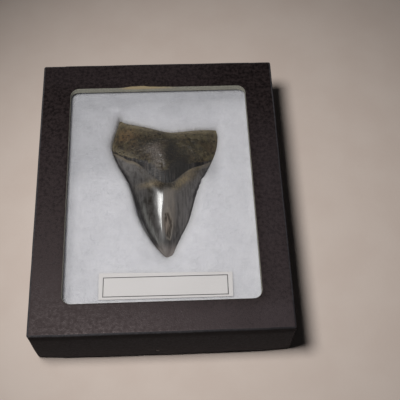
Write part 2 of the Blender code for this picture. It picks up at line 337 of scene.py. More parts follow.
ROOT_TOP = [
    (-19.0, 43.3), (-17.0, 41.9), (-12.0, 40.4), (-6.0, 38.7), (0.0, 36.7), (6.0, 35.4), (13.0, 35.9),
    (21.0, 36.7),
]
# Chips out of each cutting edge, as (how far up the tooth, depth, half width)
LEFT_CHIPS = [(-12.0, 0.22, 0.8), (7.0, 0.25, 0.7)]
RIGHT_CHIPS = [(9.4, 0.40, 0.8), (6.1, 0.35, 0.6), (3.2, 0.30, 0.6), (-19.0, 0.20, 0.7)]
TOOTH_MIDDLE = 1.0
EDGE_HEIGHT = 20.0
TIP_DIP = 4.8
DIP_REACH = 44.0
DIP_POWER = 1.3
# Height of the middle line of the upper face, and depth of the lower face under the edge, by distance
# from the tip
CREST = [
    (0.0, 15.3), (1.2, 16.6), (3.5, 17.6), (8.0, 19.1), (16.0, 21.3), (24.0, 23.6), (31.0, 25.5),
    (35.0, 26.2), (40.0, 26.8), (47.0, 27.2), (55.0, 27.0), (62.0, 25.9), (72.0, 24.2),
]
# The crown's ridge, as (distance along, place across), and how round the crown is across it: 1 is a
# sharp ridge and 2 a round one
RIDGE = [
    (-28.8, 0.9), (-22.0, 1.3), (-18.0, 1.3), (-13.0, 1.2), (-10.0, 1.3), (-5.0, 2.1), (-1.0, 2.5),
    (8.0, 2.3), (45.0, 1.8),
]
ROUNDNESS = [
    (-28.8, 1.4), (-18.0, 1.45), (-13.0, 1.55), (-10.0, 1.7), (-5.0, 2.05), (-1.0, 2.2), (8.0, 2.0),
    (45.0, 1.75),
]
KEEL = [(0.0, 0.3), (8.0, 1.4), (30.0, 2.3), (40.0, 3.2), (48.0, 4.6), (56.0, 5.4), (72.0, 4.2)]
CROWN_LENGTH = 43.0
ROOT_START = 34.0
# The grid that the tooth is skinned over: its rows close up towards the root, and its columns are part
# evenly spread and part crowded towards the edges
TOOTH_ROWS = 372
ROW_CROWDING = 1.25
TOOTH_COLUMNS = 104
EVEN_COLUMNS = 0.45
TOOTH_LENGTH = 72.0
ROOT_ROUNDING = 0.1
HIGHEST = 27.7
# Where the enamel starts, and where the root's bone ends above the collar, from left to right
ENAMEL_LINE = [
    (-25.0, 26.6), (-22.9, 24.5), (-20.6, 22.4), (-18.5, 20.6), (-15.5, 18.4), (-12.6, 16.9), (-10.1, 15.1),
    (-7.7, 12.6), (-5.4, 9.9), (-3.0, 7.9), (-0.2, 5.4), (2.6, 4.5), (5.5, 5.1), (7.9, 6.9), (10.4, 9.2),
    (12.9, 11.2), (15.8, 13.3), (19.3, 14.8), (22.8, 17.1), (26.5, 19.7),
]
BONE_LINE = [
    (-25.0, 27.3), (-22.9, 25.3), (-20.6, 23.3), (-18.5, 21.5), (-16.4, 20.3), (-14.4, 19.2), (-12.3, 18.4),
    (-10.1, 17.7), (-7.7, 16.8), (-5.0, 15.2), (-2.0, 12.6), (1.0, 11.6), (4.0, 12.6), (6.5, 15.0),
    (9.0, 16.0), (12.0, 15.7), (13.5, 15.5), (16.5, 16.0), (19.7, 16.8), (22.8, 17.9), (26.5, 20.4),
]
SERRATION_PITCH = 0.8
SERRATION_DEPTH = 0.17
SERRATION_LEVEL = 0.7


def smooth_run(points, fineness=16):
    """Close points along a smooth curve through the given points."""
    points = np.array(points, float)
    slopes = np.gradient(points, axis=0)
    part = np.linspace(0, 1, fineness, endpoint=False)[:, None]
    square, cube = part ** 2, part ** 3
    run = []
    for i in range(len(points) - 1):
        run.append(
            (2 * cube - 3 * square + 1) * points[i] + (cube - 2 * square + part) * slopes[i]
            + (3 * square - 2 * cube) * points[i + 1] + (cube - square) * slopes[i + 1]
        )
    return np.vstack(run + [points[-1:]])


def along(run, shares):
    """Points at the given shares of a run's length."""
    reach = np.concatenate([[0.0], np.cumsum(np.linalg.norm(np.diff(run, axis=0), axis=1))])
    wanted = shares * reach[-1]
    return np.column_stack([np.interp(wanted, reach, run[:, axis]) for axis in (0, 1)])


def read_line(points, places):
    """The height of a smooth line, given by points from left to right, over each place."""
    return np.interp(places, *smooth_run(points).T)


def chipped(edge, chips, side):
    """An edge's points with its chips cut in; side is 1 where the tooth lies to the right of the edge."""
    cut = sum(depth * np.exp(-((edge[:, 1] - place) / width) ** 2) for place, depth, width in chips)
    return edge + np.column_stack([side * cut, np.zeros(len(edge))])


def tooth_plan():
    """The tooth's plan as a grid from the tip to the root's top and from the left edge to the right."""
    rows = 1 - (1 - np.arange(1, TOOTH_ROWS + 1) / TOOTH_ROWS) ** ROW_CROWDING
    even = np.linspace(0, 1, TOOTH_COLUMNS + 1)
    columns = EVEN_COLUMNS * even + (1 - EVEN_COLUMNS) * (1 - np.cos(math.pi * even)) / 2
    left = chipped(along(smooth_run([TIP] + LEFT_EDGE), rows), LEFT_CHIPS, 1)
    right = chipped(along(smooth_run([TIP] + RIGHT_EDGE), rows), RIGHT_CHIPS, -1)
    top = along(smooth_run([LEFT_EDGE[-1]] + ROOT_TOP + [RIGHT_EDGE[-1]]), columns)
    share = columns[None, :, None]
    straight = left[:, None] * (1 - share) + right[:, None] * share
    bend = top - (left[-1] * (1 - columns[:, None]) + right[-1] * columns[:, None])
    plan = straight + bend[None] * rows[:, None, None] ** 3
    width = np.linalg.norm(right - left, axis=1)[:, None]
    return plan[..., 0], plan[..., 1], rows[:, None], columns[None, :], width


def edge_height(y):
    """Height of the cutting edge: level at the root, sunk towards the tip."""
    return EDGE_HEIGHT - TIP_DIP * np.clip(1 - (y - TIP[1]) / DIP_REACH, 0, 1) ** DIP_POWER


def oval(x, y, centre, radii):
    """0 at an oval patch's middle and 1 on its outline."""
    return np.sqrt(((x - centre[0]) / radii[0]) ** 2 + ((y - centre[1]) / radii[1]) ** 2)


def hump(off, width):
    """1 where off is 0, easing away on both sides within about twice the width."""
    return np.exp(-(off / width) ** 2)


def patch(x, y, centre, radii, power=2):
    """1 at an oval patch's middle, easing away past its outline: a higher power makes a clearer outline."""
    return np.exp(-oval(x, y, centre, radii) ** power)


def lumps(x, y, size, seed):
    """Smooth random values from -1 to 1 over the plan, with lumps about size millimetres across."""
    cells = 128
    table = np.random.default_rng(seed).uniform(-1, 1, (cells, cells))
    column, row = np.floor(x / size).astype(int), np.floor(y / size).astype(int)
    part_x, part_y = x / size - column, y / size - row
    part_x, part_y = part_x ** 2 * (3 - 2 * part_x), part_y ** 2 * (3 - 2 * part_y)

    def corner(right, up):
        """The table's values at one corner of each place's cell."""
        return table[(column + right) % cells, (row + up) % cells]

    lower = corner(0, 0) * (1 - part_x) + corner(1, 0) * part_x
    upper = corner(0, 1) * (1 - part_x) + corner(1, 1) * part_x
    return lower * (1 - part_y) + upper * part_y


def tooth_zones(x, y, columns, from_top, rim):
    """The share of each kind of surface at each point of the upper face, by name."""
    wander = 0.55 * lumps(x, y, 3.1, 11) + 0.25 * lumps(x, y, 1.1, 12)
    below = read_line(ENAMEL_LINE, x) + 0.4 * wander - y
    off_middle = np.abs(x - TOOTH_MIDDLE)
    middling = ease(off_middle, 17.0, 9.0)
    above = y - read_line(BONE_LINE, x) - (0.5 + 0.7 * middling) * wander
    crown = ease(below, -0.25, 0.25)
    root = 1 - crown
    blend = 0.35 + 0.55 * middling + 1.6 * hump(x - 2.0, 8.0)
    bone = np.maximum(ease(above, -blend, blend), 0.42 * ease(x, -16.0, -18.5))

    on_root = {
        "fluted": ease(-below, 7.5, 5.0),
        "boss": patch(x + 0.4 * wander, y, (-1.0, 18.2), (3.0, 7.6), 2.6)
        + 0.8 * patch(x + 0.4 * wander, y, (-4.4, 23.0), (3.0, 2.6), 2.4),
        "glint": ease(oval(x, y, (0.8, 17.5), (2.2, 6.5)) + 0.2 * wander, 1.2, 0.5),
        "black": 1.15 * patch(x + 0.8 * wander, y, (9.0, 14.0), (6.4, 8.0), 2.4)
        + 0.85 * patch(x + 0.6 * wander, y, (5.0, 23.0), (3.2, 7.4), 2.4),
    }

    paler_rim = ease(rim + 0.8 * wander, 2.6, 0.4) * (1 - 0.6 * ease(x, 20.0, 25.0))
    paler_foot = ease(above + wander, 4.5, 0.3) * ease(x, -9.0, -16.0)
    topmost = from_top + 0.7 * wander
    top_band = 0.6 * ease(topmost, 4.5, 2.5)
    top_band += (0.25 + 0.30 * hump(x - 7.5, 5.0)) * ease(topmost, 9.0, 6.0)
    top_band *= (1 - 0.85 * hump(off_middle, 3.2)) * (1 - 0.5 * ease(x, 22.0, 26.0))
    top_band *= ease(y, 24.0, 28.0) * (0.45 + 0.55 * ease(x, -18.0, -13.0))
    on_bone = {
        "ochre": ease(oval(x, y, (-16.5, 34.0), (7.5, 6.5)) + 0.7 * wander, 1.3, 0.3),
        "bleached": np.maximum(0.75 * paler_rim, 0.95 * paler_foot),
        "top_band": top_band,
        "mauve": patch(x, y, (-8.0, 24.5), (9.0, 7.5)),
        "gloom": 0.45 * patch(x + wander, y + wander, (-1.0, 31.5), (10.0, 3.6))
        + patch(x + wander, y + wander, (-2.5, 27.6), (6.0, 2.0)),
        "dusky": ease(x + 1.5 * wander, 3.0, 8.0) * ease(rim, 3.0, 7.5),
    }

    off_ridge = x - read_line(RIDGE, y)
    chip = oval(x, y, (3.2, -14.6), (1.75, 5.8)) + 0.16 * lumps(x, y, 1.0, 13)
    streak = ease(off_ridge, -1.15, -0.75) * ease(x, 7.9, 5.3) * ease(y + 0.8 * wander, 3.0, -1.0)
    tan = 1.25 * np.exp(-((below - 3.2 - 0.8 * wander) / 2.2) ** 2 - ((x - 10.3) / 5.5) ** 2)
    tan += 0.95 * patch(x, y + wander, (-3.8, 4.5), (5.6, 1.6))
    tan += 0.45 * ease(below, 2.4, 0.8) * ease(off_middle, 8.5, 13.0)
    left_bevel = 1.25 + 0.65 * ease(y, 8.0, -6.0)
    right_bevel = 0.7 + 0.5 * hump(y - 2.0, 4.0)
    bevel_width = np.where(columns < 0.5, left_bevel, right_bevel)
    bevel = ease(rim + 0.5 * wander, bevel_width + 0.6, bevel_width - 0.5) * ease(y, -27.0, -23.0)
    on_crown = {
        "ledge": hump(below - 0.55, 0.42) * ease(x, -8.0, -12.0),
        "tan": tan,
        "pale": ease(x - 0.55 * y + 1.5 * wander, -12.0, -21.0) * ease(below, 13.0, 3.0),
        "peppered": ease(below + wander, 6.0, 3.0) * ease(x, -13.5, -9.5) * ease(x, 3.0, 0.0),
        "dusk": patch(x + 0.6 * wander, y, (-4.4, -3.0), (3.0, 13.0), 2.5),
        "stain": patch(x, y + 0.6 * wander, (3.0, 3.6), (5.5, 2.6), 2.5),
        # Painted sheen: the crown's right flank made lighter, standing in for a broad sheen on it
        "painted_sheen_right_flank": ease(off_ridge, 3.6, 6.4) * ease(below, 2.0, 7.0) * (1 - 0.5 * ease(y, -10.0, -16.0)),
        "bevel": bevel * (1 - 0.85 * ease(y, 5.0, 11.0) * (columns > 0.5)),
        "flank": hump(rim - 3.3 - 0.4 * wander, 1.1) * ease(y, 1.0, -7.0) * (columns < 0.5),
        "sunken": patch(x + 0.4 * wander, y, (1.8, -22.2), (3.4, 4.4), 2.5)
        + patch(x + 0.4 * wander, y, (7.3, -18.0), (1.9, 6.0), 2.5),
        "streak": streak * ease(y + wander, -21.0, -15.5),
        "chip": ease(chip, 1.10, 0.80),
        # Painted glint: a lighter rim round the chip's right side, which is also raised a little
        "raised_lip_and_painted_glint": hump(chip - 1.15, 0.13) * ease(x, 1.2, 3.0),
    }

    zones = {"crown": crown, "bone": bone, "collar": root * (1 - bone)}
    zones["worn_tip"] = ease(y - TIP[1] + 1.2 * wander, 8.0, 2.5)
    for ground, group in ((root, on_root), (bone, on_bone), (crown, on_crown)):
        zones.update({name: np.clip(share, 0, 1) * ground for name, share in group.items()})
    return zones


def tooth_relief(x, y, zone, columns, rim, below):
    """What the upper face adds to its plain bulge, in millimetres."""
    crown, bone, collar, fluted = (zone[name] for name in ("crown", "bone", "collar", "fluted"))
    relief = 0.42 * patch(x, y, (-0.2, 17.8), (4.2, 7.6))
    relief -= 0.26 * collar * (1 - zone["boss"])
    relief += 0.05 * fluted * np.sin(2 * math.pi * x / 1.7 + 2.0 * lumps(x, y, 5.0, 21))
    relief += 0.12 * (collar - 0.7 * fluted) * lumps(x, y, 1.6, 33)
    relief += 0.13 * hump(below - 0.7, 0.5) * ease(np.abs(x - TOOTH_MIDDLE), 6.5, 12.0)
    relief -= 1.3 * hump(x - 3.5, 6.0) * ease(y, 28.0, 37.0)
    relief += bone * (0.34 * lumps(x, y, 6.5, 22) + 0.17 * lumps(x, y, 2.6, 23))
    relief += (bone + 0.5 * zone["black"]) * 0.09 * lumps(x, y, 1.15, 24)
    relief -= 0.30 * bone * ease(lumps(x, y, 1.7, 25), 0.45, 0.80) * ease(x, 2.0, 9.0)
    relief -= 0.25 * bone * ease(lumps(x, y, 1.5, 26), 0.60, 0.85)
    relief += crown * (0.05 * lumps(x, y / 5, 2.4, 27) + 0.015 * lumps(x, y / 1.6, 1.7, 34))
    relief -= crown * 0.14 * hump(columns - 0.24, 0.035) * ease(y, 4.0, -6.0)
    relief -= crown * 0.12 * hump(columns - 0.79, 0.03) * ease(y, 2.0, -8.0)
    relief -= crown * 0.22 * ease(rim, 2.6, 1.6) * ease(rim, 0.0, 0.8)
    relief -= zone["streak"] * (0.10 + 0.04 * lumps(x, y / 9, 0.5, 28))
    relief -= zone["chip"] * (0.40 + 0.13 * lumps(x, y / 2, 0.75, 29))
    relief += zone["glint"] * 0.05 * lumps(x, y, 0.7, 32)
    relief += 0.07 * zone["raised_lip_and_painted_glint"]
    relief += zone["worn_tip"] * 0.10 * lumps(x, y, 0.9, 30)
    return relief * ease(rim, 0.0, 1.1)


def tooth_surface():
    """The grid of the tooth with its upper and lower heights, its zones and its distance from the rim."""
    x, y, rows, columns, width = tooth_plan()
    from_tip = y - TIP[1]
    side = np.abs(2 * columns - 1)
    ridge = read_line(RIDGE, y)
    off_ridge = np.where(x < ridge, (ridge - x) / (ridge - x[:, :1]), (x - ridge) / (x[:, -1:] - ridge))
    rootness = ease(from_tip, ROOT_START, CROWN_LENGTH)
    # Sections across the tooth, 1 at the middle and 0 at the edges: a crown's, and a root's above and below
    lens = 1 - np.clip(off_ridge, 0, 1) ** read_line(ROUNDNESS, y)
    lobed = 0.5 * (1 - side ** 2) + 0.5 * np.sqrt(np.clip(1 - side ** 3, 0, 1))
    blunt = np.sqrt(np.clip(1 - side ** 2.6, 0, 1))
    closing = np.sqrt(1 - (np.clip(rows - (1 - ROOT_ROUNDING), 0, None) / ROOT_ROUNDING) ** 2)
    from_top = (1 - rows) * TOOTH_LENGTH
    rim = np.minimum(np.minimum(columns, 1 - columns) * width, from_top)
    edge = edge_height(y)
    zone = tooth_zones(x, y, columns, from_top, rim)
    below = read_line(ENAMEL_LINE, x) - y
    bulge = (read_line(CREST, from_tip) - edge) * (lens * (1 - rootness) + lobed * rootness) * closing
    upper = edge + bulge + tooth_relief(x, y, zone, columns, rim, below)
    keel = read_line(KEEL, from_tip) * (lens * (1 - rootness) + blunt * rootness) * closing
    lower = edge - keel - 0.15 * zone["bone"] * lumps(x, y, 3.0, 31) * ease(rim, 0.0, 1.5)
    return x, y, np.minimum(upper, HIGHEST), lower, zone, rim


def quads_of(grid):
    """The four-sided faces between the neighbours in a grid of vertex numbers."""
    return np.stack([grid[:-1, :-1], grid[:-1, 1:], grid[1:, 1:], grid[1:, :-1]], -1).reshape(-1, 4)


def placed_mesh(name, points, faces):
    """Puts a mesh into the scene, given its points in millimetres and the vertices of each face."""
    mesh = bpy.data.meshes.new(name)
    mesh.from_pydata(points * MM, [], faces)
    return placed(name, mesh)


def tooth_skin(x, y, upper, lower):
    """Joins the two faces along the rim into one closed skin, and returns each grid point's vertex."""
    tip = [[TIP[0], TIP[1], EDGE_HEIGHT - TIP_DIP]]
    above = np.arange(x.size).reshape(x.shape) + 1
    on_rim = np.zeros(x.shape, bool)
    on_rim[:, 0] = on_rim[:, -1] = on_rim[-1] = True
    below = above.copy()
    below[~on_rim] = x.size + 1 + np.arange(np.count_nonzero(~on_rim))
    top_points = np.stack([x, y, upper], -1).reshape(-1, 3)
    low_points = np.stack([x, y, lower], -1)[~on_rim]
    faces = []
    for grid, turned in ((above, False), (below, True)):
        fan = np.stack([np.zeros_like(grid[0, 1:]), grid[0, 1:], grid[0, :-1]], -1)
        for group in (quads_of(grid), fan):
            faces += (group[:, ::-1] if turned else group).tolist()
    tooth = placed_mesh("megalodon_tooth", np.vstack([tip, top_points, low_points]), faces)
    tooth.data.shade_smooth()
    return tooth, above, below


def new_tree(name, **sizes):
    """A Geometry Nodes tree with its named inputs, and the outputs of the node that gives them."""
    tree = bpy.data.node_groups.new(name, "GeometryNodeTree")
    for title, kind in {"Geometry": "Geometry", **sizes}.items():
        tree.interface.new_socket(title, in_out="INPUT", socket_type="NodeSocket" + kind)
    tree.interface.new_socket("Geometry", in_out="OUTPUT", socket_type="NodeSocketGeometry")
    return tree, tree.nodes.new("NodeGroupInput").outputs


def hand_out(tree, geometry, finish):
    """Ends a tree: sets the material, and hands the geometry out."""
    coat = add_node(tree, "GeometryNodeSetMaterial", {"Geometry": geometry, "Material": finish})
    add_node(tree, "NodeGroupOutput", {0: coat.outputs[0]})


def serration_tree(finish):
    """Scallops the cutting edge: points near it are pushed out and in along their edge_out direction."""
    tree, given = new_tree("cutting_edge_serrations", Pitch="Float", Depth="Float")

    def read(name, kind="FLOAT"):
        """What is stored on the tooth under a name."""
        return add_node(tree, "GeometryNodeInputNamedAttribute", {"Name": name}, data_type=kind).outputs[0]

    turns = maths(tree, "MULTIPLY", maths(tree, "DIVIDE", read("edge_run"), given["Pitch"]), math.pi)
    wave = maths(tree, "SUBTRACT", maths(tree, "ABSOLUTE", maths(tree, "SINE", turns)), SERRATION_LEVEL)
    reach = maths(tree, "MULTIPLY", maths(tree, "MULTIPLY", wave, read("edge_hold")), given["Depth"])
    outward = {0: read("edge_out", "FLOAT_VECTOR"), "Scale": reach}
    push = add_node(tree, "ShaderNodeVectorMath", outward, operation="SCALE")
    shift = {"Geometry": given["Geometry"], "Offset": push.outputs[0]}
    move = add_node(tree, "GeometryNodeSetPosition", shift)
    realize = add_node(tree, "GeometryNodeRealizeInstances", {0: move.outputs[0]})
    hand_out(tree, realize.outputs[0], finish)
    return tree


def run_tree(piece, tree, sizes):
    """Runs a node tree on a piece with its named sizes, and keeps the result as the piece's plain mesh."""
    step = piece.modifiers.new(tree.name, "NODES")
    step.node_group = tree
    for item in tree.interface.items_tree:
        if item.item_type == "SOCKET" and item.in_out == "INPUT" and item.name in sizes:
            step[item.identifier] = sizes[item.name]
    shown = piece.evaluated_get(bpy.context.evaluated_depsgraph_get())
    made = bpy.data.meshes.new_from_object(shown)
    piece.modifiers.remove(step)
    piece.data = made
    made.name = piece.name


# Coats laid over each other on the crown and on the root, the first of them lowest: where each is painted,
# the pattern that breaks it up, the pattern's span, its shares at that span's ends, and the colour
CROWN_COATS = [
    # painted sheen on the crown's right flank
    ("painted_sheen_right_flank", "threads", 0.34, 0.64, 0.35, 1.0, (0.140, 0.130, 0.128)),
    ("pale", "blot", 0.34, 0.60, 0.45, 1.0, (0.168, 0.158, 0.155)),
    ("dusk", "blot", 0.34, 0.58, 0.95, 0.50, (0.024, 0.020, 0.016)),
    ("peppered", "fine", 0.42, 0.60, 0.97, 0.45, (0.030, 0.021, 0.014)),
    ("tan", "fine", 0.36, 0.60, 0.40, 1.0, (0.240, 0.190, 0.122)),
    ("stain", "fine", 0.44, 0.64, 1.0, 0.60, (0.020, 0.015, 0.010)),
    ("flank", "threads", 0.35, 0.60, 0.30, 0.90, (0.150, 0.150, 0.142)),
    ("streak", "threads", 0.30, 0.60, 0.55, 1.0, (0.150, 0.128, 0.112)),
    ("sunken", "threads", 0.35, 0.62, 0.95, 0.35, (0.024, 0.021, 0.020)),
    ("bevel", "blot", 0.30, 0.65, 0.95, 0.70, (0.021, 0.019, 0.021)),
]
CHIP_COATS = [("ledge", "fine", 0.35, 0.60, 0.45, 0.95, (0.180, 0.148, 0.108))]
DARK_BONE_COATS = [
    ("mauve", "fine", 0.42, 0.58, 0.95, 0.35, (0.034, 0.026, 0.021)),
    ("gloom", "blot", 0.34, 0.60, 0.95, 0.60, (0.020, 0.018, 0.013)),
    ("dusky", "blot", 0.36, 0.58, 0.90, 0.30, (0.036, 0.030, 0.019)),
]
PALE_BONE_COATS = [
    ("ochre", "blot", 0.35, 0.65, 0.25, 0.90, (0.140, 0.086, 0.040)),
    ("bleached", "fine", 0.30, 0.60, 0.30, 1.0, (0.165, 0.138, 0.092)),
    ("top_band", "fine", 0.30, 0.60, 0.60, 1.0, (0.240, 0.200, 0.125)),
]
ROOT_ROUGHNESS = 0.60
CROWN_ROUGHNESS = 0.222
# How much rougher than that the surface is in each zone
ROUGHER = {
    "streak": 0.38, "chip": 0.20, "worn_tip": 0.35, "tan": 0.16, "stain": 0.50, "sunken": 0.30,
    "black": 0.30, "peppered": 0.30, "bevel": 0.14, "glint": -0.30, "collar": -0.10,
}


def fossil():
    """Enamel, collar and bone: polished grey, tan under the collar, black striated, and dull olive."""
    finish = Finish("fossil_enamel_and_bone")
    zone, span, over, times, plus = finish.zone, finish.span, finish.mix, finish.times, finish.plus
    cloud = finish.noise(5.5, detail=5.0)
    blot = finish.noise(2.2, detail=4.0)
    fine = finish.noise(0.7, detail=4.0)
    threads = finish.noise(0.75, detail=4.0, place=finish.stretched(1.0, 0.07, 0.3))
    ridges = finish.noise(0.50, detail=2.0, place=finish.stretched(1.0, 0.13, 0.3))
    flutes = finish.noise(1.0, detail=2.0, place=finish.stretched(1.0, 0.10, 0.3))
    patterns = {"blot": blot, "fine": fine, "threads": threads}

    def coated(ground, coats):
        """The ground with its coats laid over it."""
        for name, pattern, *reach, colour in coats:
            ground = over(finish.patchy(name, patterns[pattern], *reach), ground, colour)
        return ground

    enamel = over(span(threads, 0.34, 0.66), (0.040, 0.037, 0.036), (0.102, 0.096, 0.095))
    enamel = over(span(blot, 0.40, 0.62, 0.0, 0.60), enamel, (0.110, 0.103, 0.101))
    enamel = coated(enamel, CROWN_COATS)
    # The chip's rim made lighter: a painted glint
    enamel = over(times(zone("raised_lip_and_painted_glint"), 0.8), enamel, (0.190, 0.165, 0.140))
    hollow = over(span(threads, 0.44, 0.60), (0.030, 0.023, 0.017), (0.190, 0.155, 0.130))
    enamel = coated(over(zone("chip"), enamel, hollow), CHIP_COATS)

    bone = over(span(blot, 0.36, 0.62), (0.026, 0.019, 0.012), (0.084, 0.067, 0.034))
    bone = over(span(cloud, 0.46, 0.62, 0.0, 0.6), bone, (0.058, 0.036, 0.021))
    bone = coated(bone, DARK_BONE_COATS)
    bone = over(span(fine, 0.50, 0.72, 0.0, 0.65), bone, (0.125, 0.100, 0.062))
    bone = coated(bone, PALE_BONE_COATS)
    pits = times(span(finish.cells(1.9), 0.36, 0.20), span(cloud, 0.38, 0.50))
    specks = times(span(finish.cells(0.85), 0.30, 0.14), span(cloud, 0.62, 0.44))
    bone = over(times(maths(finish.tree, "MAXIMUM", pits, specks), 0.8), bone, (0.013, 0.011, 0.009))

    pitted = over(span(fine, 0.40, 0.62), (0.010, 0.008, 0.007), (0.066, 0.055, 0.044))
    fluting = over(span(flutes, 0.50, 0.62), (0.006, 0.005, 0.006), (0.048, 0.040, 0.037))
    collar = over(zone("fluted"), pitted, fluting)
    boss = over(span(fine, 0.38, 0.62), (0.094, 0.077, 0.069), (0.205, 0.176, 0.160))
    boss = over(span(ridges, 0.44, 0.56, 0.45, 0.0), boss, (0.030, 0.026, 0.023))
    # Painted glints: bright specks laid into the boss's colour in its glint zone
    boss = over(times(zone("glint"), span(finish.cells(0.75), 0.20, 0.08)), boss, (0.620, 0.590, 0.560))

    mottle = plus(times(blot, 1.2), times(fine, 0.8))
    body = over(span(plus(zone("bone"), mottle), 1.32, 1.66), collar, bone)
    body = coated(body, [("black", "fine", 0.44, 0.66, 0.98, 0.70, (0.0195, 0.0170, 0.0158))])
    body = coated(body, [("boss", "blot", 0.30, 0.60, 0.98, 0.80, boss)])
    body = over(zone("crown"), body, enamel)
    worn = over(fine, (0.135, 0.116, 0.105), (0.290, 0.255, 0.240))
    finish.set("Base Color", over(times(zone("worn_tip"), 0.75), body, worn))

    roughness = plus(span(zone("crown"), 0.0, 1.0, ROOT_ROUGHNESS, CROWN_ROUGHNESS), times(threads, 0.05))
    for name, more in ROUGHER.items():
        roughness = plus(roughness, times(zone(name), more))
    finish.set("Roughness", roughness)

    grain = times(fine, span(zone("crown"), 0.0, 1.0, 1.0, 0.05))
    scored = times(ridges, span(zone("fluted"), 0.0, 1.0, 0.10, 1.0))
    lines = times(threads, span(zone("streak"), 0.0, 1.0, 0.10, 0.55))
    finish.relief(plus(plus(grain, scored), lines), 0.16)
    return finish.material


def make_tooth():
    """The tooth, its zones painted on it and its edge serrated, and the outline of its plan."""
    x, y, upper, lower, zone, rim = tooth_surface()
    tooth, above, below = tooth_skin(x, y, upper, lower)

    def paint_both(name, values, at_tip=0.0):
        """Paints the grid's values on both faces."""
        spread = np.full((len(tooth.data.vertices), *values.shape[2:]), at_tip)
        spread[above] = values
        spread[below] = values
        paint(tooth, name, spread)

    for name, values in zone.items():
        paint_both(name, values, at_tip=1.0 if name in ("crown", "worn_tip") else 0.0)

    plan = np.stack([x, y], -1)
    step = np.hypot(np.diff(x, axis=0, prepend=TIP[0]), np.diff(y, axis=0, prepend=TIP[1]))
    run = np.cumsum(step, axis=0)
    half = x.shape[1] // 2
    edge_run = np.where(np.arange(x.shape[1]) < half, run[:, :1], run[:, -1:])
    slope = np.gradient(plan, axis=0)
    slope /= np.linalg.norm(slope, axis=-1, keepdims=True)
    outward = np.stack([-slope[..., 1], slope[..., 0], np.zeros(x.shape)], -1)
    outward[:, half:] *= -1
    paint_both("edge_run", edge_run * MM)
    paint_both("edge_hold", ease(rim, 0.9, 0.0) * zone["crown"])
    paint_both("edge_out", outward)

    sizes = {"Pitch": SERRATION_PITCH * MM, "Depth": SERRATION_DEPTH * MM}
    run_tree(tooth, serration_tree(fossil()), sizes)
    return tooth, np.vstack([plan[:, 0], plan[-1], plan[::-1, -1]])


tooth, tooth_rim = make_tooth()
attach(tooth, "root")
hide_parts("tooth")

# --------------------------------------------------
# Batting
# A pad of white polyester fibre, cut to fill the tray and a little too thick for it, so that the glass
# presses its top flat. The tooth has sunk into it and holds it down all round; loose fibres lie on top.
# --------------------------------------------------
PAD_STEP = 0.46
PAD_EDGE = 3.0
PAD_CORNER_PULL = 0.7
# How far the pad stands above its level part, up to the glass, along the window's sides
PAD_TO_GLASS = 0.40
SINK_REACH = 7.5
SINK_WALL = 1.8
# The batting meets the tooth a little below its edge: how far, and how much higher it banks up round the
# root, on the tooth's left and behind the root; on the right it lies in a hollow
RIM_SHOWS = 0.20
ROOT_BANK = 2.4
LEFT_BANK = 2.0
FAR_BANK = 0.6
HOLLOW = ((24.0, 13.0), (6.0, 10.0))
HOLLOW_DEPTH = 1.4
# Between which places along the tooth the batting's bank changes from the crown's to the root's
BANK_TURNS = (8.0, 24.0)
# Where it stays up beyond the root's left horn, and how much of its fall that takes away
HORN = ((-20.6, 46.2), (3.2, 2.4))
HORN_FILL = 0.75
SWELL_DEPTH = 0.55
# Between which places the pad comes up to the glass, across it to either side and along it to the far end
PRESSED_ACROSS = (40.5, 43.5)
PRESSED_ALONG = (51.0, 55.0)
TOOTH_ROOM = 0.4
NEST_DEPTH = 8.5
# How many loose fibres lie on a square millimetre
LOOSE_FIBRES = 0.46
FIBRE_THICK = 0.022
FIBRE_WAVE = 0.9
# How long a fibre's ripples are, the middle of the noise that bends it, and the bend's share on each axis
FIBRE_RIPPLE = 3.2
WAVE_MIDDLE = (0.5, 0.5, 0.35)
WAVE_SHARES = (1.0, 1.0, 0.22)
# The kinds of fibre, as (radius, degrees of arc)
FIBRE_ARCS = [(9.0, 42.0), (4.0, 80.0), (15.0, 26.0)]
FIBRE_WHITE = (0.81, 0.803, 0.845)
FIBRE_SHADE = (0.73, 0.725, 0.766)
# The grey that painted shade takes the fibre to
FIBRE_PAINTED_SHADE = (0.50, 0.50, 0.535)


def reach_to(path, x, y):
    """How far each place is from a closed path, and which of its points is the nearest."""
    nearest = np.full(x.shape, 1e9)
    which = np.zeros(x.shape, int)
    for i, (px, py) in enumerate(path):
        gap = np.hypot(x - px, y - py)
        closer = gap < nearest
        nearest[closer] = gap[closer]
        which[closer] = i
    return nearest, which


def within(path, x, y):
    """Whether each place is inside a closed path."""
    inside = np.zeros(x.shape, bool)
    for (ax, ay), (bx, by) in zip(path, np.roll(path, -1, axis=0)):
        if ay != by:
            crosses = (ay > y) != (by > y)
            inside ^= crosses & (x < ax + (y - ay) * (bx - ax) / (by - ay))
    return inside


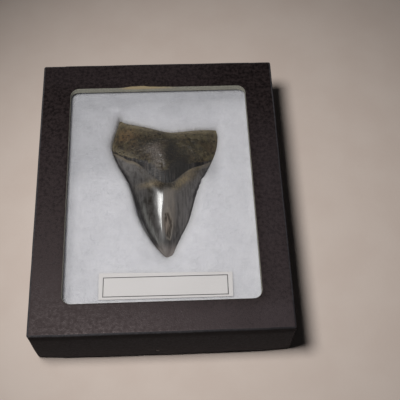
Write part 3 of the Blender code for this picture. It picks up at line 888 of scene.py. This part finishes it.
def batting_height(x, y, top):
    """Height of the pad's top: pressed flat by the glass, and drawn down to the tooth's rim around it."""
    path = tooth_rim
    gap, which = reach_to(path, x, y)
    inside = within(path, x, y)
    heading = np.gradient(path, axis=0)
    heading /= np.linalg.norm(heading, axis=1, keepdims=True) + 1e-9
    evened = [np.convolve(np.pad(axis, 12, mode="wrap"), np.ones(25) / 25, "valid") for axis in heading.T]
    leftward, farward = np.clip(evened[1], 0, 1)[which], np.clip(evened[0], 0, 1)[which]
    rootward = ease(path[which][..., 1], *BANK_TURNS)
    hollow = patch(x, y, *HOLLOW)
    contact = edge_height(path[which][..., 1]) - RIM_SHOWS + ROOT_BANK * rootward - HOLLOW_DEPTH * hollow
    contact += LEFT_BANK * leftward * (1 - 0.6 * rootward) + FAR_BANK * farward * rootward
    swell = 0.15 + 0.55 * lumps(x, y, 13.0, 41) + 0.25 * lumps(x, y, 5.0, 42)
    level = top + np.minimum(0.0, swell) * SWELL_DEPTH
    reach = SINK_REACH - 2.0 * rootward + 1.0 * lumps(x, y, 9.0, 43)
    steep = 0.70 - 0.35 * hollow - 0.45 * farward * rootward
    wall = SINK_WALL - 1.0 * leftward * (1 - rootward)
    fall = steep * np.exp(-gap / wall) + (1 - steep) * np.exp(-(gap / reach) ** 1.3)
    fall *= 1 - HORN_FILL * patch(x, y, *HORN)
    sunk = level - (level - contact) * fall
    pressed = np.maximum(ease(np.abs(x), *PRESSED_ACROSS), ease(y, *PRESSED_ALONG))
    sunk += (top + PAD_TO_GLASS - sunk) * pressed
    sunk += 0.05 * lumps(x, y, 1.6, 44) + 0.03 * lumps(x, y, 0.8, 45)
    nest = contact - TOOTH_ROOM - NEST_DEPTH * (1 - np.exp(-gap / 1.3))
    return np.minimum(np.where(inside, nest, sunk), top + PAD_TO_GLASS * pressed), gap, inside


def white_batting():
    """White fibre, greyer where painted shade is laid on it: its strands show as faint streaks and soft
    clouds.
    """
    finish = Finish("white_batting", roughness=0.95, specular=0.15)
    cloud = finish.noise(6.0, detail=4.0, twist=0.6)
    strand = finish.noise(0.8, detail=4.0, place=finish.stretched(1.0, 0.22, 1.0), twist=1.2)
    cross = finish.noise(0.8, detail=4.0, place=finish.stretched(0.25, 1.0, 1.0), twist=1.2)
    weave = maths(finish.tree, "MAXIMUM", strand, cross)
    shade = finish.plus(finish.times(cloud, 0.40), finish.times(weave, 0.60))
    full = finish.mix(finish.span(shade, 0.38, 0.62), FIBRE_SHADE, FIBRE_WHITE)
    painted_shade = finish.patchy("painted_shade", shade, 0.34, 0.62, 1.0, 0.75)
    finish.set("Base Color", finish.mix(painted_shade, full, FIBRE_PAINTED_SHADE))
    finish.relief(finish.plus(weave, finish.times(cloud, 0.5)), 0.16)
    finish.set("Subsurface Weight", 0.9)
    finish.set("Subsurface Radius", (1.0, 1.0, 1.0))
    finish.set("Subsurface Scale", 4.0 * MM)
    finish.set("Sheen Weight", 0.25)
    finish.set("Sheen Roughness", 0.6)
    return finish.material


WHITE_BATTING = white_batting()


def make_batting():
    """The pad, the surface of its top, and how far each place on it is from the tooth."""
    (_, _, bottom), (half_width, half_length, top) = box_of("batting")
    across = np.linspace(PAD_EDGE - half_width, half_width - PAD_EDGE, int(2 * half_width / PAD_STEP))
    ahead = np.linspace(PAD_EDGE - half_length, half_length - PAD_EDGE, int(2 * half_length / PAD_STEP))
    x, y = np.meshgrid(across, ahead)
    height, gap, inside = batting_height(x, y, top)
    surface = np.stack([x, y, height], -1)
    grid = np.arange(x.size).reshape(x.shape)
    border = np.concatenate([grid[0, :-1], grid[:-1, -1], grid[-1, :0:-1], grid[:0:-1, 0]])
    points = surface.reshape(-1, 3)
    outward = np.sign(points[border, :2]) * (
        np.abs(points[border, :2]) > np.array([half_width, half_length]) - PAD_EDGE - 0.01)
    outward *= np.where(np.abs(outward).sum(1) > 1, PAD_CORNER_PULL, 1.0)[:, None]
    # The pad's side and underside, as insets and heights
    section = [(1.3, top - 0.5), (0.3, top - 2.2), (0.0, top - 6.0), (0.35, 12.0), (0.1, 5.0)]
    section += [(0.9, bottom + 0.9), (3.0, bottom), (18.0, bottom)]
    faces = quads_of(grid).tolist()
    layers = [points]
    upper = border
    for ring, (inset, level) in enumerate(section):
        layers.append(lifted(points[border, :2] + outward * (PAD_EDGE - inset), level))
        lower = len(points) + ring * len(border) + np.arange(len(border))
        faces += np.stack([lower, np.roll(lower, -1), np.roll(upper, -1), upper], -1).tolist()
        upper = lower
    faces.append(upper[::-1].tolist())
    pad = placed_mesh("batting_pad", np.vstack(layers), faces)
    pad.data.shade_smooth()
    pad.data.materials.append(WHITE_BATTING)
    x, y = vertex_places(pad).T[:2]
    # Painted shade: greyer towards the far end and the left, along the window's far and left rails and
    # beside the tooth's right side, with less of it right under the rails' edges
    painted_shade = 0.50 * ease(y, 2.0, 19.0) + 0.30 * ease(y, 40.0, 50.0) + 0.30 * ease(x, -22.0, -36.0)
    painted_shade += 0.60 * ease(y, 48.0, 52.5) + 0.40 * ease(x, -37.5, -41.5)
    painted_shade -= 1.1 * ease(y, 54.5, 57.0) + 0.6 * ease(x, -41.5, -44.0)
    painted_shade += 0.55 * patch(x, y, (25.0, 12.5), (4.5, 8.0))
    painted_shade += 0.35 * ease(y, 46.0, 50.0) * ease(x, -8.0, -34.0)
    painted_shade -= 0.30 * ease(x, 22.0, 34.0) * ease(y, 0.0, 20.0)
    painted_shade += 0.30 * patch(x, y, (-23.0, 57.0), (8.0, 2.5))
    paint(pad, "painted_shade", np.clip(painted_shade + 0.10 * lumps(x, y, 9.0, 47), 0, 1))
    return pad, surface, np.where(inside, 0.0, gap)


def fibre_tree(finish):
    """Lays short curved fibres over a surface, turned at random, and waves them a little."""
    tree, given = new_tree("loose_fibres", Density="Float", Thickness="Float", Wave="Float", Seed="Int")

    def add(kind, inputs, **settings):
        """Adds a node and gives its outputs."""
        return add_node(tree, kind, inputs, **settings).outputs

    ring = add("GeometryNodeCurvePrimitiveCircle", {"Resolution": 3, "Radius": given["Thickness"]})
    kinds = add_node(tree, "GeometryNodeGeometryToInstance", {})
    for radius, sweep in FIBRE_ARCS:
        bend = {"Resolution": 7, "Radius": radius * MM, "Sweep Angle": math.radians(sweep)}
        arc = add("GeometryNodeCurveArc", bend)["Curve"]
        half_sweep = math.radians(sweep / 2)
        back = (-radius * MM * math.cos(half_sweep), -radius * MM * math.sin(half_sweep), 0.0)
        centred_arc = add("GeometryNodeTransform", {"Translation": back, "Geometry": arc})["Geometry"]
        parts = {"Fill Caps": True, "Curve": centred_arc, "Profile Curve": ring["Curve"]}
        feed(tree, kinds.inputs[0], add("GeometryNodeCurveToMesh", parts)["Mesh"])

    loose = add("GeometryNodeInputNamedAttribute", {"Name": "loose"}, data_type="FLOAT")["Attribute"]
    scatter = add("GeometryNodeDistributePointsOnFaces", {
        "Mesh": given["Geometry"], "Density": maths(tree, "MULTIPLY", loose, given["Density"]),
        "Seed": given["Seed"],
    })

    def chance(kind, suffix, low, high):
        """A random value for each fibre; the suffix is how the node marks the sockets of that kind."""
        node = add_node(tree, "FunctionNodeRandomValue", {"Seed": given["Seed"]}, data_type=kind)
        sockets = {socket.identifier: socket for socket in [*node.inputs, *node.outputs]}
        feed(tree, sockets["Min" + suffix], low)
        feed(tree, sockets["Max" + suffix], high)
        return sockets["Value" + suffix]

    lay = add("GeometryNodeInstanceOnPoints", {
        "Points": scatter["Points"], "Instance": kinds.outputs[0], "Pick Instance": True,
        "Instance Index": chance("INT", "_002", 0, len(FIBRE_ARCS) - 1),
        "Rotation": scatter["Rotation"], "Scale": chance("FLOAT", "_001", 0.6, 1.25),
    })
    turned = chance("FLOAT_VECTOR", "", (-0.05, -0.05, 0.0), (0.05, 0.05, 2 * math.pi))
    turn = add("GeometryNodeRotateInstances", {"Instances": lay["Instances"], "Rotation": turned})
    realize = add("GeometryNodeRealizeInstances", {0: turn["Instances"]})

    ripple = add("ShaderNodeTexNoise", {"Scale": 1 / (FIBRE_RIPPLE * MM), "Detail": 1.0})["Color"]
    wave = add("ShaderNodeVectorMath", {0: ripple, 1: WAVE_MIDDLE}, operation="SUBTRACT")
    wave = add("ShaderNodeVectorMath", {0: wave[0], 1: WAVE_SHARES}, operation="MULTIPLY")
    push = add("ShaderNodeVectorMath", {0: wave[0], "Scale": given["Wave"]}, operation="SCALE")
    move = add("GeometryNodeSetPosition", {"Geometry": realize[0], "Offset": push[0]})
    hand_out(tree, move[0], finish)
    return tree


def clouded(name, size, colours, detail=3.0, span=None, depth=0.0, **shine):
    """A plain finish of two colours in clouds about size millimetres across, which may stand in relief."""
    finish = Finish(name, **shine)
    clouds = finish.noise(size, detail)
    finish.set("Base Color", finish.mix(finish.span(clouds, *span) if span else clouds, *colours))
    if depth:
        finish.relief(clouds, depth)
    return finish


def make_fibres(surface, gap):
    """The fibres that lie loose on the pad where the window shows it, thinned out next to the tooth."""
    grid = np.arange(gap.size).reshape(gap.shape)
    fibres = placed_mesh("loose_batting_fibres", surface.reshape(-1, 3), quads_of(grid).tolist())
    x, y = surface[..., 0], surface[..., 1]
    shown = ease(np.abs(x), 47.0, 44.0) * ease(np.abs(y), 60.0, 57.0)
    paint(fibres, "loose", (shown * ease(gap, 3.0, 5.0) * (0.75 + 0.25 * lumps(x, y, 7.0, 46))).ravel())
    tones = [(0.70, 0.715, 0.75), (0.88, 0.89, 0.92)]
    finish = clouded("loose_white_fibre", 2.5, tones, detail=2.0, roughness=0.45, specular=0.4).material
    run_tree(fibres, fibre_tree(finish), {
        "Density": LOOSE_FIBRES / MM ** 2, "Thickness": FIBRE_THICK * MM, "Wave": FIBRE_WAVE * MM, "Seed": 7,
    })
    fibres.data.materials.clear()
    fibres.data.materials.append(finish)
    fibres.data.shade_smooth()
    return fibres


batting, batting_surface, tooth_gap = make_batting()
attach(batting, "root")
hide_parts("batting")

fibres = make_fibres(batting_surface, tooth_gap)
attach(fibres, "root")

# --------------------------------------------------
# Label
# A slip of white card, cut out by hand a little out of square, with a fine printed rule round a bare
# field. It lies on the batting below the tooth's tip and is held flat by the glass.
# --------------------------------------------------
CARD_CORNERS = [(-27.9, -53.1), (31.0, -53.3), (31.4, -41.8), (-27.9, -40.7)]
RULE_CORNERS = [(-26.15, -52.0), (29.1, -52.4), (29.2, -43.1), (-26.0, -42.8)]
RULE_WIDTH = 0.36
CARD_STEPS = 40
# The places of its two finishes in its list
CARD, TONER = 0, 1
CARD_CURL = 0.05


def corner_ring(corners, inset=0.0):
    """Points once round a four-cornered outline, its corners drawn in towards its middle."""
    corners = np.array(corners, float)
    corners -= inset * np.sign(corners - corners.mean(axis=0))
    ring = []
    for start, end in zip(corners, np.roll(corners, -1, axis=0)):
        ring += [start + (end - start) * i / CARD_STEPS for i in range(CARD_STEPS)]
    return np.array(ring)


def lofted(name, rings, bands, finishes, **folds):
    """A piece skinned over its rings, with a flat face at each end."""
    bm = bmesh.new()
    loops = loft(bm, rings, bands)
    bm.faces.new(loops[-1])
    bm.faces.new(list(reversed(loops[0])))
    bmesh.ops.recalc_face_normals(bm, faces=bm.faces)
    return made_piece(bm, name, finishes, **folds)


def label_card():
    """White card, faintly yellowed in clouds."""
    finish = Finish("white_label_card", roughness=0.82, specular=0.3)
    pulp = finish.noise(0.35, detail=4.0)
    age = finish.noise(14.0, detail=2.0)
    tone = finish.mix(finish.span(age, 0.3, 0.7), (0.750, 0.720, 0.718), (0.790, 0.758, 0.760))
    finish.set("Base Color", finish.mix(finish.span(pulp, 0.3, 0.7), tone, (0.810, 0.782, 0.784)))
    finish.relief(pulp, 0.02)
    return finish.material


def make_label():
    """The slip, its rule printed as a band of its top face, and the whole of it a little curled."""
    (_, _, bottom), (_, _, top) = box_of("label")
    edge, edge_in = corner_ring(CARD_CORNERS), corner_ring(CARD_CORNERS, 0.05)
    rule, field = corner_ring(RULE_CORNERS), corner_ring(RULE_CORNERS, RULE_WIDTH)
    middle = np.array(CARD_CORNERS).mean(axis=0)
    rings = [lifted(edge_in, bottom), lifted(edge, bottom + 0.06), lifted(edge, top - 0.06)]
    rings += [lifted(plan, top) for plan in (edge_in, rule, field)]
    rings += [lifted(middle + (field - middle) * share, top) for share in (0.5, 0.1)]
    tones = [(0.030, 0.030, 0.032), (0.16, 0.16, 0.165)]
    toner = clouded("printed_rule", 0.25, tones, span=(0.45, 0.75), roughness=0.6, specular=0.3).material
    card = lofted("label_card", rings, [CARD] * 4 + [TONER] + [CARD] * 2, [label_card(), toner])
    places = vertex_places(card)
    places[:, 2] += CARD_CURL * (lumps(*places[:, :2].T, 16.0, 51) - 1.0)
    card.data.vertices.foreach_set("co", (places * MM).ravel())
    return card


label = make_label()
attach(label, "root")
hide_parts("label")

# --------------------------------------------------
# Glass
# A pane of clear 2 mm window glass the size of the lid's inside, its edges ground and its corners nipped
# off. It lies loose between the lid's board and the tray's rim.
# --------------------------------------------------
GLASS_ARRIS = 0.35
GLASS_CORNER = 1.2
GLASS_BENDS_LIGHT = 1.5


def clear_glass():
    """Clear glass with the faintest green."""
    finish = Finish("clear_window_glass", roughness=0.01)
    finish.set("Base Color", (0.985, 0.995, 0.99))
    finish.set("Transmission Weight", 1.0)
    finish.set("IOR", GLASS_BENDS_LIGHT)
    return finish.material


def ground_glass():
    """The pane's ground edge: cloudy and green."""
    tones = [(0.42, 0.60, 0.54), (0.60, 0.76, 0.70)]
    finish = clouded("ground_glass_edge", 0.3, tones, detail=2.0, depth=0.03)
    finish.set("Transmission Weight", 0.6)
    finish.set("IOR", GLASS_BENDS_LIGHT)
    return finish.material


def make_glass():
    """The pane, with its ground edge as a band of its own."""
    (_, _, low), (half_width, half_length, top) = box_of("glass")
    section = [(GLASS_ARRIS, low), (0.0, low + GLASS_ARRIS), (0.0, top - GLASS_ARRIS), (GLASS_ARRIS, top)]
    rings = []
    for inset, level in section:
        rings.append(lifted(plan_ring(half_width - inset, half_length - inset, GLASS_CORNER - inset), level))
    pane = lofted("window_glass", rings, [1, 1, 1], [clear_glass(), ground_glass()], sharp_degrees=20.0)
    # Light passes the clear pane unchanged; it is only looked through.
    pane.visible_shadow = False
    pane.visible_diffuse = False
    pane.visible_glossy = False
    return pane


glass = make_glass()
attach(glass, "root")
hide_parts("glass")

# --------------------------------------------------
# Lid
# Chipboard folded like the tray's, wrapped in the same black paper, with a window cut through both, so that
# the board's raw edge shows round it. Its thin skirt bows and lifts a little, and at the window's far side
# the paper is scuffed away down to ochre board.
# --------------------------------------------------
HANDLED_BLACKS = [(0.0045, 0.0033, 0.0034), (0.0230, 0.0160, 0.0160)]
# The lighter tone laid on the top face's rails as painted sheen
HANDLED_PAINTED_SHEEN = (0.046, 0.036, 0.040)
# The place of the lid's handled paper in its list, after the tray's two finishes
HANDLED = 2
LID_CORNER = 1.0
LID_FOLD = 0.85
LAP_STEP = 0.13
WINDOW_HALF_WIDTH = 43.30
WINDOW_HALF_LENGTH = 55.75
WINDOW_FAR_BY = 0.12
WINDOW_CORNER = 4.0
# How far the window's right side leans out of square, for each millimetre along it
WINDOW_SKEW = 0.0045
# How far the knife leant, so that the cut comes further into the window at the board's back
CUT_SLOPE_FAR = 1.25
CUT_SLOPE_LEFT = 0.15
CUT_SLOPE_RIGHT = 0.20
PAPER_THICK = 0.16
PAPER_BACK = 0.10
# How far the walls bow outwards halfway along, far and near, and right and left, and how far they ripple
LENGTH_BOWS = (0.60, 0.75)
WIDTH_BOWS = (0.50, 0.40)
WALL_RIPPLE = 0.08
BOW_STARTS = 2.4
BOW_FULL = 24.0
# How far the walls lean outwards at their foot, and how far the top face's far and left edges bulge out
WALL_LEAN = 0.35
FAR_BULGE = 0.55
LEFT_BULGE = 0.28
# How near the outside a place has to be to belong to a wall
WALL_BAND = 1.2
PIN_DIMPLE = 0.15
PIN_DIMPLE_WIDE = 1.7
# The painted shade under the lid's fold, between these depths below the top
PAINTED_SHADE_FOOT = 7.5
PAINTED_SHADE_HEAD = 3.5
# The scuff at the window's far side, as (place across, how far the paper has gone)
SCUFF = [
    (-20.5, 0.0), (-17.5, 0.20), (-14.5, 0.60), (-11.4, 0.85), (-8.4, 0.95), (-5.3, 0.60),
    (-2.3, 0.40), (0.8, 0.30), (3.8, 0.25), (6.9, 0.10), (10.9, 0.0),
]
SCUFF_DEPTH = 0.10
PAPER_RAGGED = 0.05
TOP_WARP = 0.07
# How far the skirt's foot is lifted all round, and how far that waves
SKIRT_LIFT = 0.12
SKIRT_WAVE = 0.10
# Where the near skirt stands off the tray and lets a dark gap show
SKIRT_GAP_AT = 33.0
SKIRT_GAP_WIDE = 7.5
SKIRT_GAP_HIGH = 1.9
CORNER_LIFT = 0.6
CORNER_LIFT_WIDE = 11.0
# How far up the wall the lift of its foot is still felt
LIFT_FADES = 14.0
# The rings of the top face, as shares of the way from its outer fold to the window
FACE_SHARES = (0.04, 0.12, 0.22, 0.34, 0.46, 0.58, 0.70, 0.80, 0.88, 0.94, 0.975)


def skirt_lift(x, y, half_width, half_length):
    """How far the skirt's foot stands above its lowest, round the lid."""
    lift = SKIRT_LIFT + SKIRT_WAVE * (1 + lumps(x + 200, y + 200, 17.0, 61))
    near = ease(y, 4.0 - half_length, 1.0 - half_length)
    lift += near * SKIRT_GAP_HIGH * hump(x - SKIRT_GAP_AT, SKIRT_GAP_WIDE)
    lift += CORNER_LIFT * hump(np.hypot(x - half_width, y + half_length), CORNER_LIFT_WIDE)
    return lift


def wall_bow(x, y, level, half_width, half_length, top):
    """The walls' outward bow, with the paper's laps near the corners and a dimple at each pin."""
    fall = ease(top - level, BOW_STARTS, BOW_FULL)

    def bowed(place, half, across, bows, seed):
        """The bow of the two walls that run along one axis, those on the plus side and the minus side."""
        span = 1 - np.clip(np.abs(place) / (half - 1.0), 0, 1) ** 5
        out = (np.where(across > 0, *bows) * span + WALL_LEAN) * fall
        return out + WALL_RIPPLE * lumps(place, level + 40 * (across > 0), 9.0, seed) * span

    out_y = bowed(x, half_width, y, LENGTH_BOWS, 62)
    out_x = bowed(y, half_length, x, WIDTH_BOWS, 63)
    out_y -= LAP_STEP * (np.abs(x) > half_width - LAP_FROM_CORNER)
    for pin in ("pin_near", "pin_far"):
        middle = sum(box_of(pin)) / 2
        apart = np.hypot(x - middle[0], level - middle[2])
        pressed = hump(apart, PIN_DIMPLE_WIDE) * (np.sign(y) == np.sign(middle[1]))
        out_y -= (out_y - PIN_DIMPLE) * pressed
    out_x = (np.abs(x) > half_width - WALL_BAND) * np.sign(x) * out_x - LEFT_BULGE * (x < 0)
    out_y = (np.abs(y) > half_length - WALL_BAND) * np.sign(y) * out_y + FAR_BULGE * (y > 0)
    return np.column_stack([out_x, out_y])


HANDLED_PAPER = black_paper(
    "handled_black_paper_of_the_top", HANDLED_BLACKS, HANDLED_PAINTED_SHEEN, 0.38, 0.57, 0.31)


def make_lid():
    """The lid as one closed skin: from inside the skirt, round its foot, over the top and back."""
    (_, _, foot), (half_width, half_length, top) = box_of("lid")
    back = top - BOARD
    outline = plan_ring(half_width, half_length, LID_CORNER)
    lift = skirt_lift(*outline.T, half_width, half_length)

    def wall(inset, level):
        """A ring of the skirt; the foot's lift fades out up the wall."""
        plan = plan_ring(half_width - inset, half_length - inset, max(LID_CORNER - inset, 0.2))
        raised = level + lift * np.clip(1 - (level - foot) / LIFT_FADES, 0, 1)
        return lifted(plan + wall_bow(*outline.T, raised, half_width, half_length, top), raised)

    rim = plan_ring(WINDOW_HALF_WIDTH, WINDOW_HALF_LENGTH, WINDOW_CORNER)
    outward = plan_ring(WINDOW_HALF_WIDTH + 1, WINDOW_HALF_LENGTH + 1, WINDOW_CORNER + 1) - rim
    rim += np.array([0.0, WINDOW_FAR_BY])
    rim[:, 0] -= WINDOW_SKEW * rim[:, 1] * (rim[:, 0] > 0)
    slope_across = np.where(rim[:, 0] < 0, CUT_SLOPE_LEFT, CUT_SLOPE_RIGHT)
    undercut = outward * np.column_stack([slope_across, CUT_SLOPE_FAR * (rim[:, 1] > 0)])

    def face(share, level):
        """A ring of the top face between its outer fold and the window."""
        outer = plan_ring(half_width - LID_FOLD, half_length - LID_FOLD, 0.4)
        outer += np.column_stack([-LEFT_BULGE * (outer[:, 0] < 0), FAR_BULGE * (outer[:, 1] > 0)])
        plan = outer * (1 - share) + (rim + torn) * share
        warp = TOP_WARP * lumps(*plan.T, 23.0, 64) + 0.02 * lumps(*plan.T, 6.0, 65)
        return lifted(plan, level + warp * math.sin(math.pi * share))

    def window(outset, level):
        """A ring round the window, moved out from its rim."""
        return lifted(rim + outset, level)

    scuff_run = smooth_run(SCUFF)
    scuff = np.interp(rim[:, 0], *scuff_run.T, left=0, right=0) * (rim[:, 1] > 50.0)
    scuff += 0.12 * scuff * lumps(*rim.T, 1.3, 66)
    ragged = PAPER_BACK + PAPER_RAGGED * lumps(*rim.T, 2.0, 67) + np.maximum(scuff, 0.0)
    torn = outward * ragged[:, None]
    board_top = top - PAPER_THICK - SCUFF_DEPTH * np.minimum(scuff, 1.0)

    rings, finishes = [], []

    def add(finish, *new_rings):
        """Adds rings, each of which starts a band of the finish."""
        rings.extend(new_rings)
        finishes.extend([finish] * len(new_rings))

    levels = [*np.linspace(foot + 0.6, top - LID_FOLD - BOW_STARTS, 16), top - 2.2, top - 1.5, top - 1.0]
    add(PAPER, wall(BOARD, foot + 0.55), wall(1.34, foot + 0.12), wall(0.75, foot), wall(0.16, foot + 0.12))
    add(PAPER, *[wall(0.0, level) for level in levels])
    for angle in (0, 18, 36, 54, 72, 90):
        turn = math.radians(angle)
        folded = wall(LID_FOLD * (1 - math.cos(turn)), top - LID_FOLD * (1 - math.sin(turn)))
        add(HANDLED if angle == 90 else PAPER, folded)
    add(HANDLED, *[face(share, top) for share in FACE_SHARES])
    add(RAW, window(torn + outward * 0.04, top - 0.02), window(torn, board_top + 0.03))
    add(RAW, window(torn * 0.45, board_top), window(outward * 0.02, board_top))
    add(RAW, window(-0.1 * undercut, board_top - 0.12), window(-0.5 * undercut, top - BOARD * 0.55))
    add(RAW, window(-undercut, back), window(outward * 2.0, back))
    add(RAW, wall(BOARD + 3.0, back), wall(BOARD, back - 0.1), wall(BOARD, top - 12.0))
    add(RAW, wall(BOARD, foot + PAPER_TURN_IN))
    add(PAPER, wall(BOARD + 0.12, foot + PAPER_TURN_IN - 0.1))

    bm = bmesh.new()
    loft(bm, rings, finishes, closed=True)
    lid = made_piece(bm, "window_lid", [MATT_PAPER, RAW_BOARD, HANDLED_PAPER])
    bared = np.zeros((len(rings), len(outline)))
    first_board = finishes.index(RAW)
    bared[first_board - 1:first_board + 5] = np.clip(scuff * 2.5, 0, 1)
    paint(lid, "torn", bared.ravel())
    x, y, z = vertex_places(lid).T
    outermost = (np.abs(x) > half_width - 1) | (np.abs(y) > half_length - 1)
    fold = hump(z - top + 0.2, 0.45) * outermost
    corner = ease(np.hypot(np.abs(x) - half_width, np.abs(y) - half_length), 3.5, 0.8)
    foot_edge = ease(z, foot + 1.6, foot + 0.2)
    rubbed = 0.02 * fold + 0.35 * corner * np.maximum(fold, foot_edge)
    edge_of_scuff = np.tile(np.clip(scuff * 1.2, 0, 1), len(rings)) * ease(z, top - 0.3, top - 0.01)
    near_window = (np.abs(x) < WINDOW_HALF_WIDTH + 2.0) & (np.abs(y) < WINDOW_HALF_LENGTH + 2.6)
    paint(lid, "rubbed", np.clip(rubbed + 0.3 * edge_of_scuff * near_window, 0, 1))
    # Painted sheen: a lighter tone on the top face's rails where the lamp's sheen falls, most on the near
    # and right rails
    right_painted_sheen = 0.55 * ease(x, 40.0, 50.0) * ease(y, 52.0, 10.0)
    near_painted_sheen = 0.75 * ease(y, -54.0, -62.0) * ease(x, -50.0, 40.0)
    far_painted_sheen = 0.25 * ease(y, 54.0, 60.0) * ease(x, 40.0, 10.0)
    left_painted_sheen = 0.20 * ease(x, -43.0, -47.0) * ease(y, 45.0, 15.0) * ease(y, -60.0, -48.0)
    painted_sheen = (right_painted_sheen + near_painted_sheen + far_painted_sheen + left_painted_sheen) * (0.85 + 0.15 * lumps(x, y, 6.0, 68))
    # Painted shade: the walls darker just under the fold, where the fold's shade falls
    painted_crease_shade = ease(z, top - PAINTED_SHADE_FOOT, top - PAINTED_SHADE_HEAD) * (0.85 + 0.15 * lumps(x, y, 9.0, 69))
    on_top = z > top - LID_FOLD
    paint(lid, "painted_sheen_and_shade", np.where(on_top, np.clip(painted_sheen, 0, 0.9), painted_crease_shade))
    return lid


lid = make_lid()
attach(lid, "root")
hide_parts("lid")

# --------------------------------------------------
# Pins
# Two short steel dressmaker's pins, pushed through the skirt and the tray's wall into the batting at the
# middle of the near and far sides. They hold the lid on.
# --------------------------------------------------
PIN_SHAFT = 0.4
PIN_HEAD = 0.9
PIN_HEAD_THICK = 0.5
PIN_POINT = 2.2
PIN_SIDES = 20


def dark_steel():
    """Steel gone nearly black with tarnish."""
    tones = [(0.035, 0.033, 0.034), (0.11, 0.105, 0.10)]
    finish = clouded("tarnished_pin_steel", 0.4, tones, depth=0.01, roughness=0.38)
    finish.set("Metallic", 1.0)
    return finish.material


PIN_STEEL = dark_steel()


def make_pin(node, side):
    """A pin turned about its own axis, from its domed head to its point."""
    low, high = box_of(node)
    centre_x, _, centre_z = (low + high) / 2
    head_top, point = (low[1], high[1]) if side < 0 else (high[1], low[1])
    # The pin's outline, as radii and how far along it from the top of its head
    section = [(0.15, 0.0), (0.45, 0.03), (0.75, 0.11), (PIN_HEAD, 0.24), (PIN_HEAD * 0.97, 0.36)]
    section += [(0.80, 0.47), (PIN_SHAFT + 0.1, PIN_HEAD_THICK), (PIN_SHAFT, PIN_HEAD_THICK + 0.12)]
    length = abs(head_top - point)
    section += [(PIN_SHAFT, length - PIN_POINT), (PIN_SHAFT * 0.55, length - 0.9), (0.02, length)]
    angles = np.linspace(0, 2 * math.pi, PIN_SIDES, endpoint=False)
    circle = np.column_stack([np.cos(angles), np.zeros(PIN_SIDES), np.sin(angles)])
    rings = [radius * circle + (centre_x, head_top - side * down, centre_z) for radius, down in section]
    return lofted(node + "_steel", rings, [0] * len(rings), [PIN_STEEL])


for pin_node, pin_side in (("pin_near", -1), ("pin_far", 1)):
    pin = make_pin(pin_node, pin_side)
    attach(pin, "root")
    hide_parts(pin_node)

# --------------------------------------------------
# Floor, light and camera
# A plain warm table top, one soft lamp above the box's left side, a dim room, and the camera above and in
# front of the box's near side.
# --------------------------------------------------
TABLE_SIZE = 3.0
TABLE_TONES = [(0.74, 0.625, 0.555), (0.77, 0.66, 0.59)]
LAMP_AT = (-0.099, -0.050, 0.432)
LAMP_AIM = (0.026, -0.0065, 0.0)
LAMP_SPREAD = 63.5
LAMP_RADIUS = 0.058
LAMP_POWER = 6.0
LAMP_COLOUR = (1.0, 0.985, 0.97)
ROOM_COLOUR = (0.9, 0.95, 1.0)
ROOM_STRENGTH = 0.012
CAMERA_AT = (0.006671, -0.157922, 0.332422)
CAMERA_TURN = (26.618, -1.042, -2.305)
CAMERA_LENS = 65.698


def make_table():
    """A wide, faintly clouded table top."""
    bm = bmesh.new()
    bmesh.ops.create_grid(bm, x_segments=24, y_segments=24, size=TABLE_SIZE / 2)
    finish = clouded("pale_table", 26.0, TABLE_TONES, span=(0.3, 0.7), roughness=0.75, specular=0.3)
    finish.relief(finish.noise(1.5), 0.05)
    return made_piece(bm, "table_top", [finish.material])


make_table()

lamp = placed("lamp", bpy.data.lights.new("lamp", "SPOT"))
lamp.location = LAMP_AT
lamp.rotation_euler = (Vector(LAMP_AT) - Vector(LAMP_AIM)).to_track_quat("Z", "Y").to_euler()
lamp.data.spot_size = math.radians(LAMP_SPREAD)
lamp.data.spot_blend = 1.0
lamp.data.energy = LAMP_POWER
lamp.data.color = LAMP_COLOUR
lamp.data.shadow_soft_size = LAMP_RADIUS

room = bpy.data.worlds.new("dim_room")
room.use_nodes = True
room.node_tree.nodes["Background"].inputs["Color"].default_value = (*ROOM_COLOUR, 1.0)
room.node_tree.nodes["Background"].inputs["Strength"].default_value = ROOM_STRENGTH
bpy.context.scene.world = room
bpy.context.scene.view_settings.view_transform = "Standard"

camera = placed("camera", bpy.data.cameras.new("camera"))
camera.location = CAMERA_AT
camera.rotation_euler = [math.radians(angle) for angle in CAMERA_TURN]
camera.data.lens = CAMERA_LENS
camera.data.sensor_width = 36.0
camera.data.clip_start = 0.01
bpy.context.scene.camera = camera
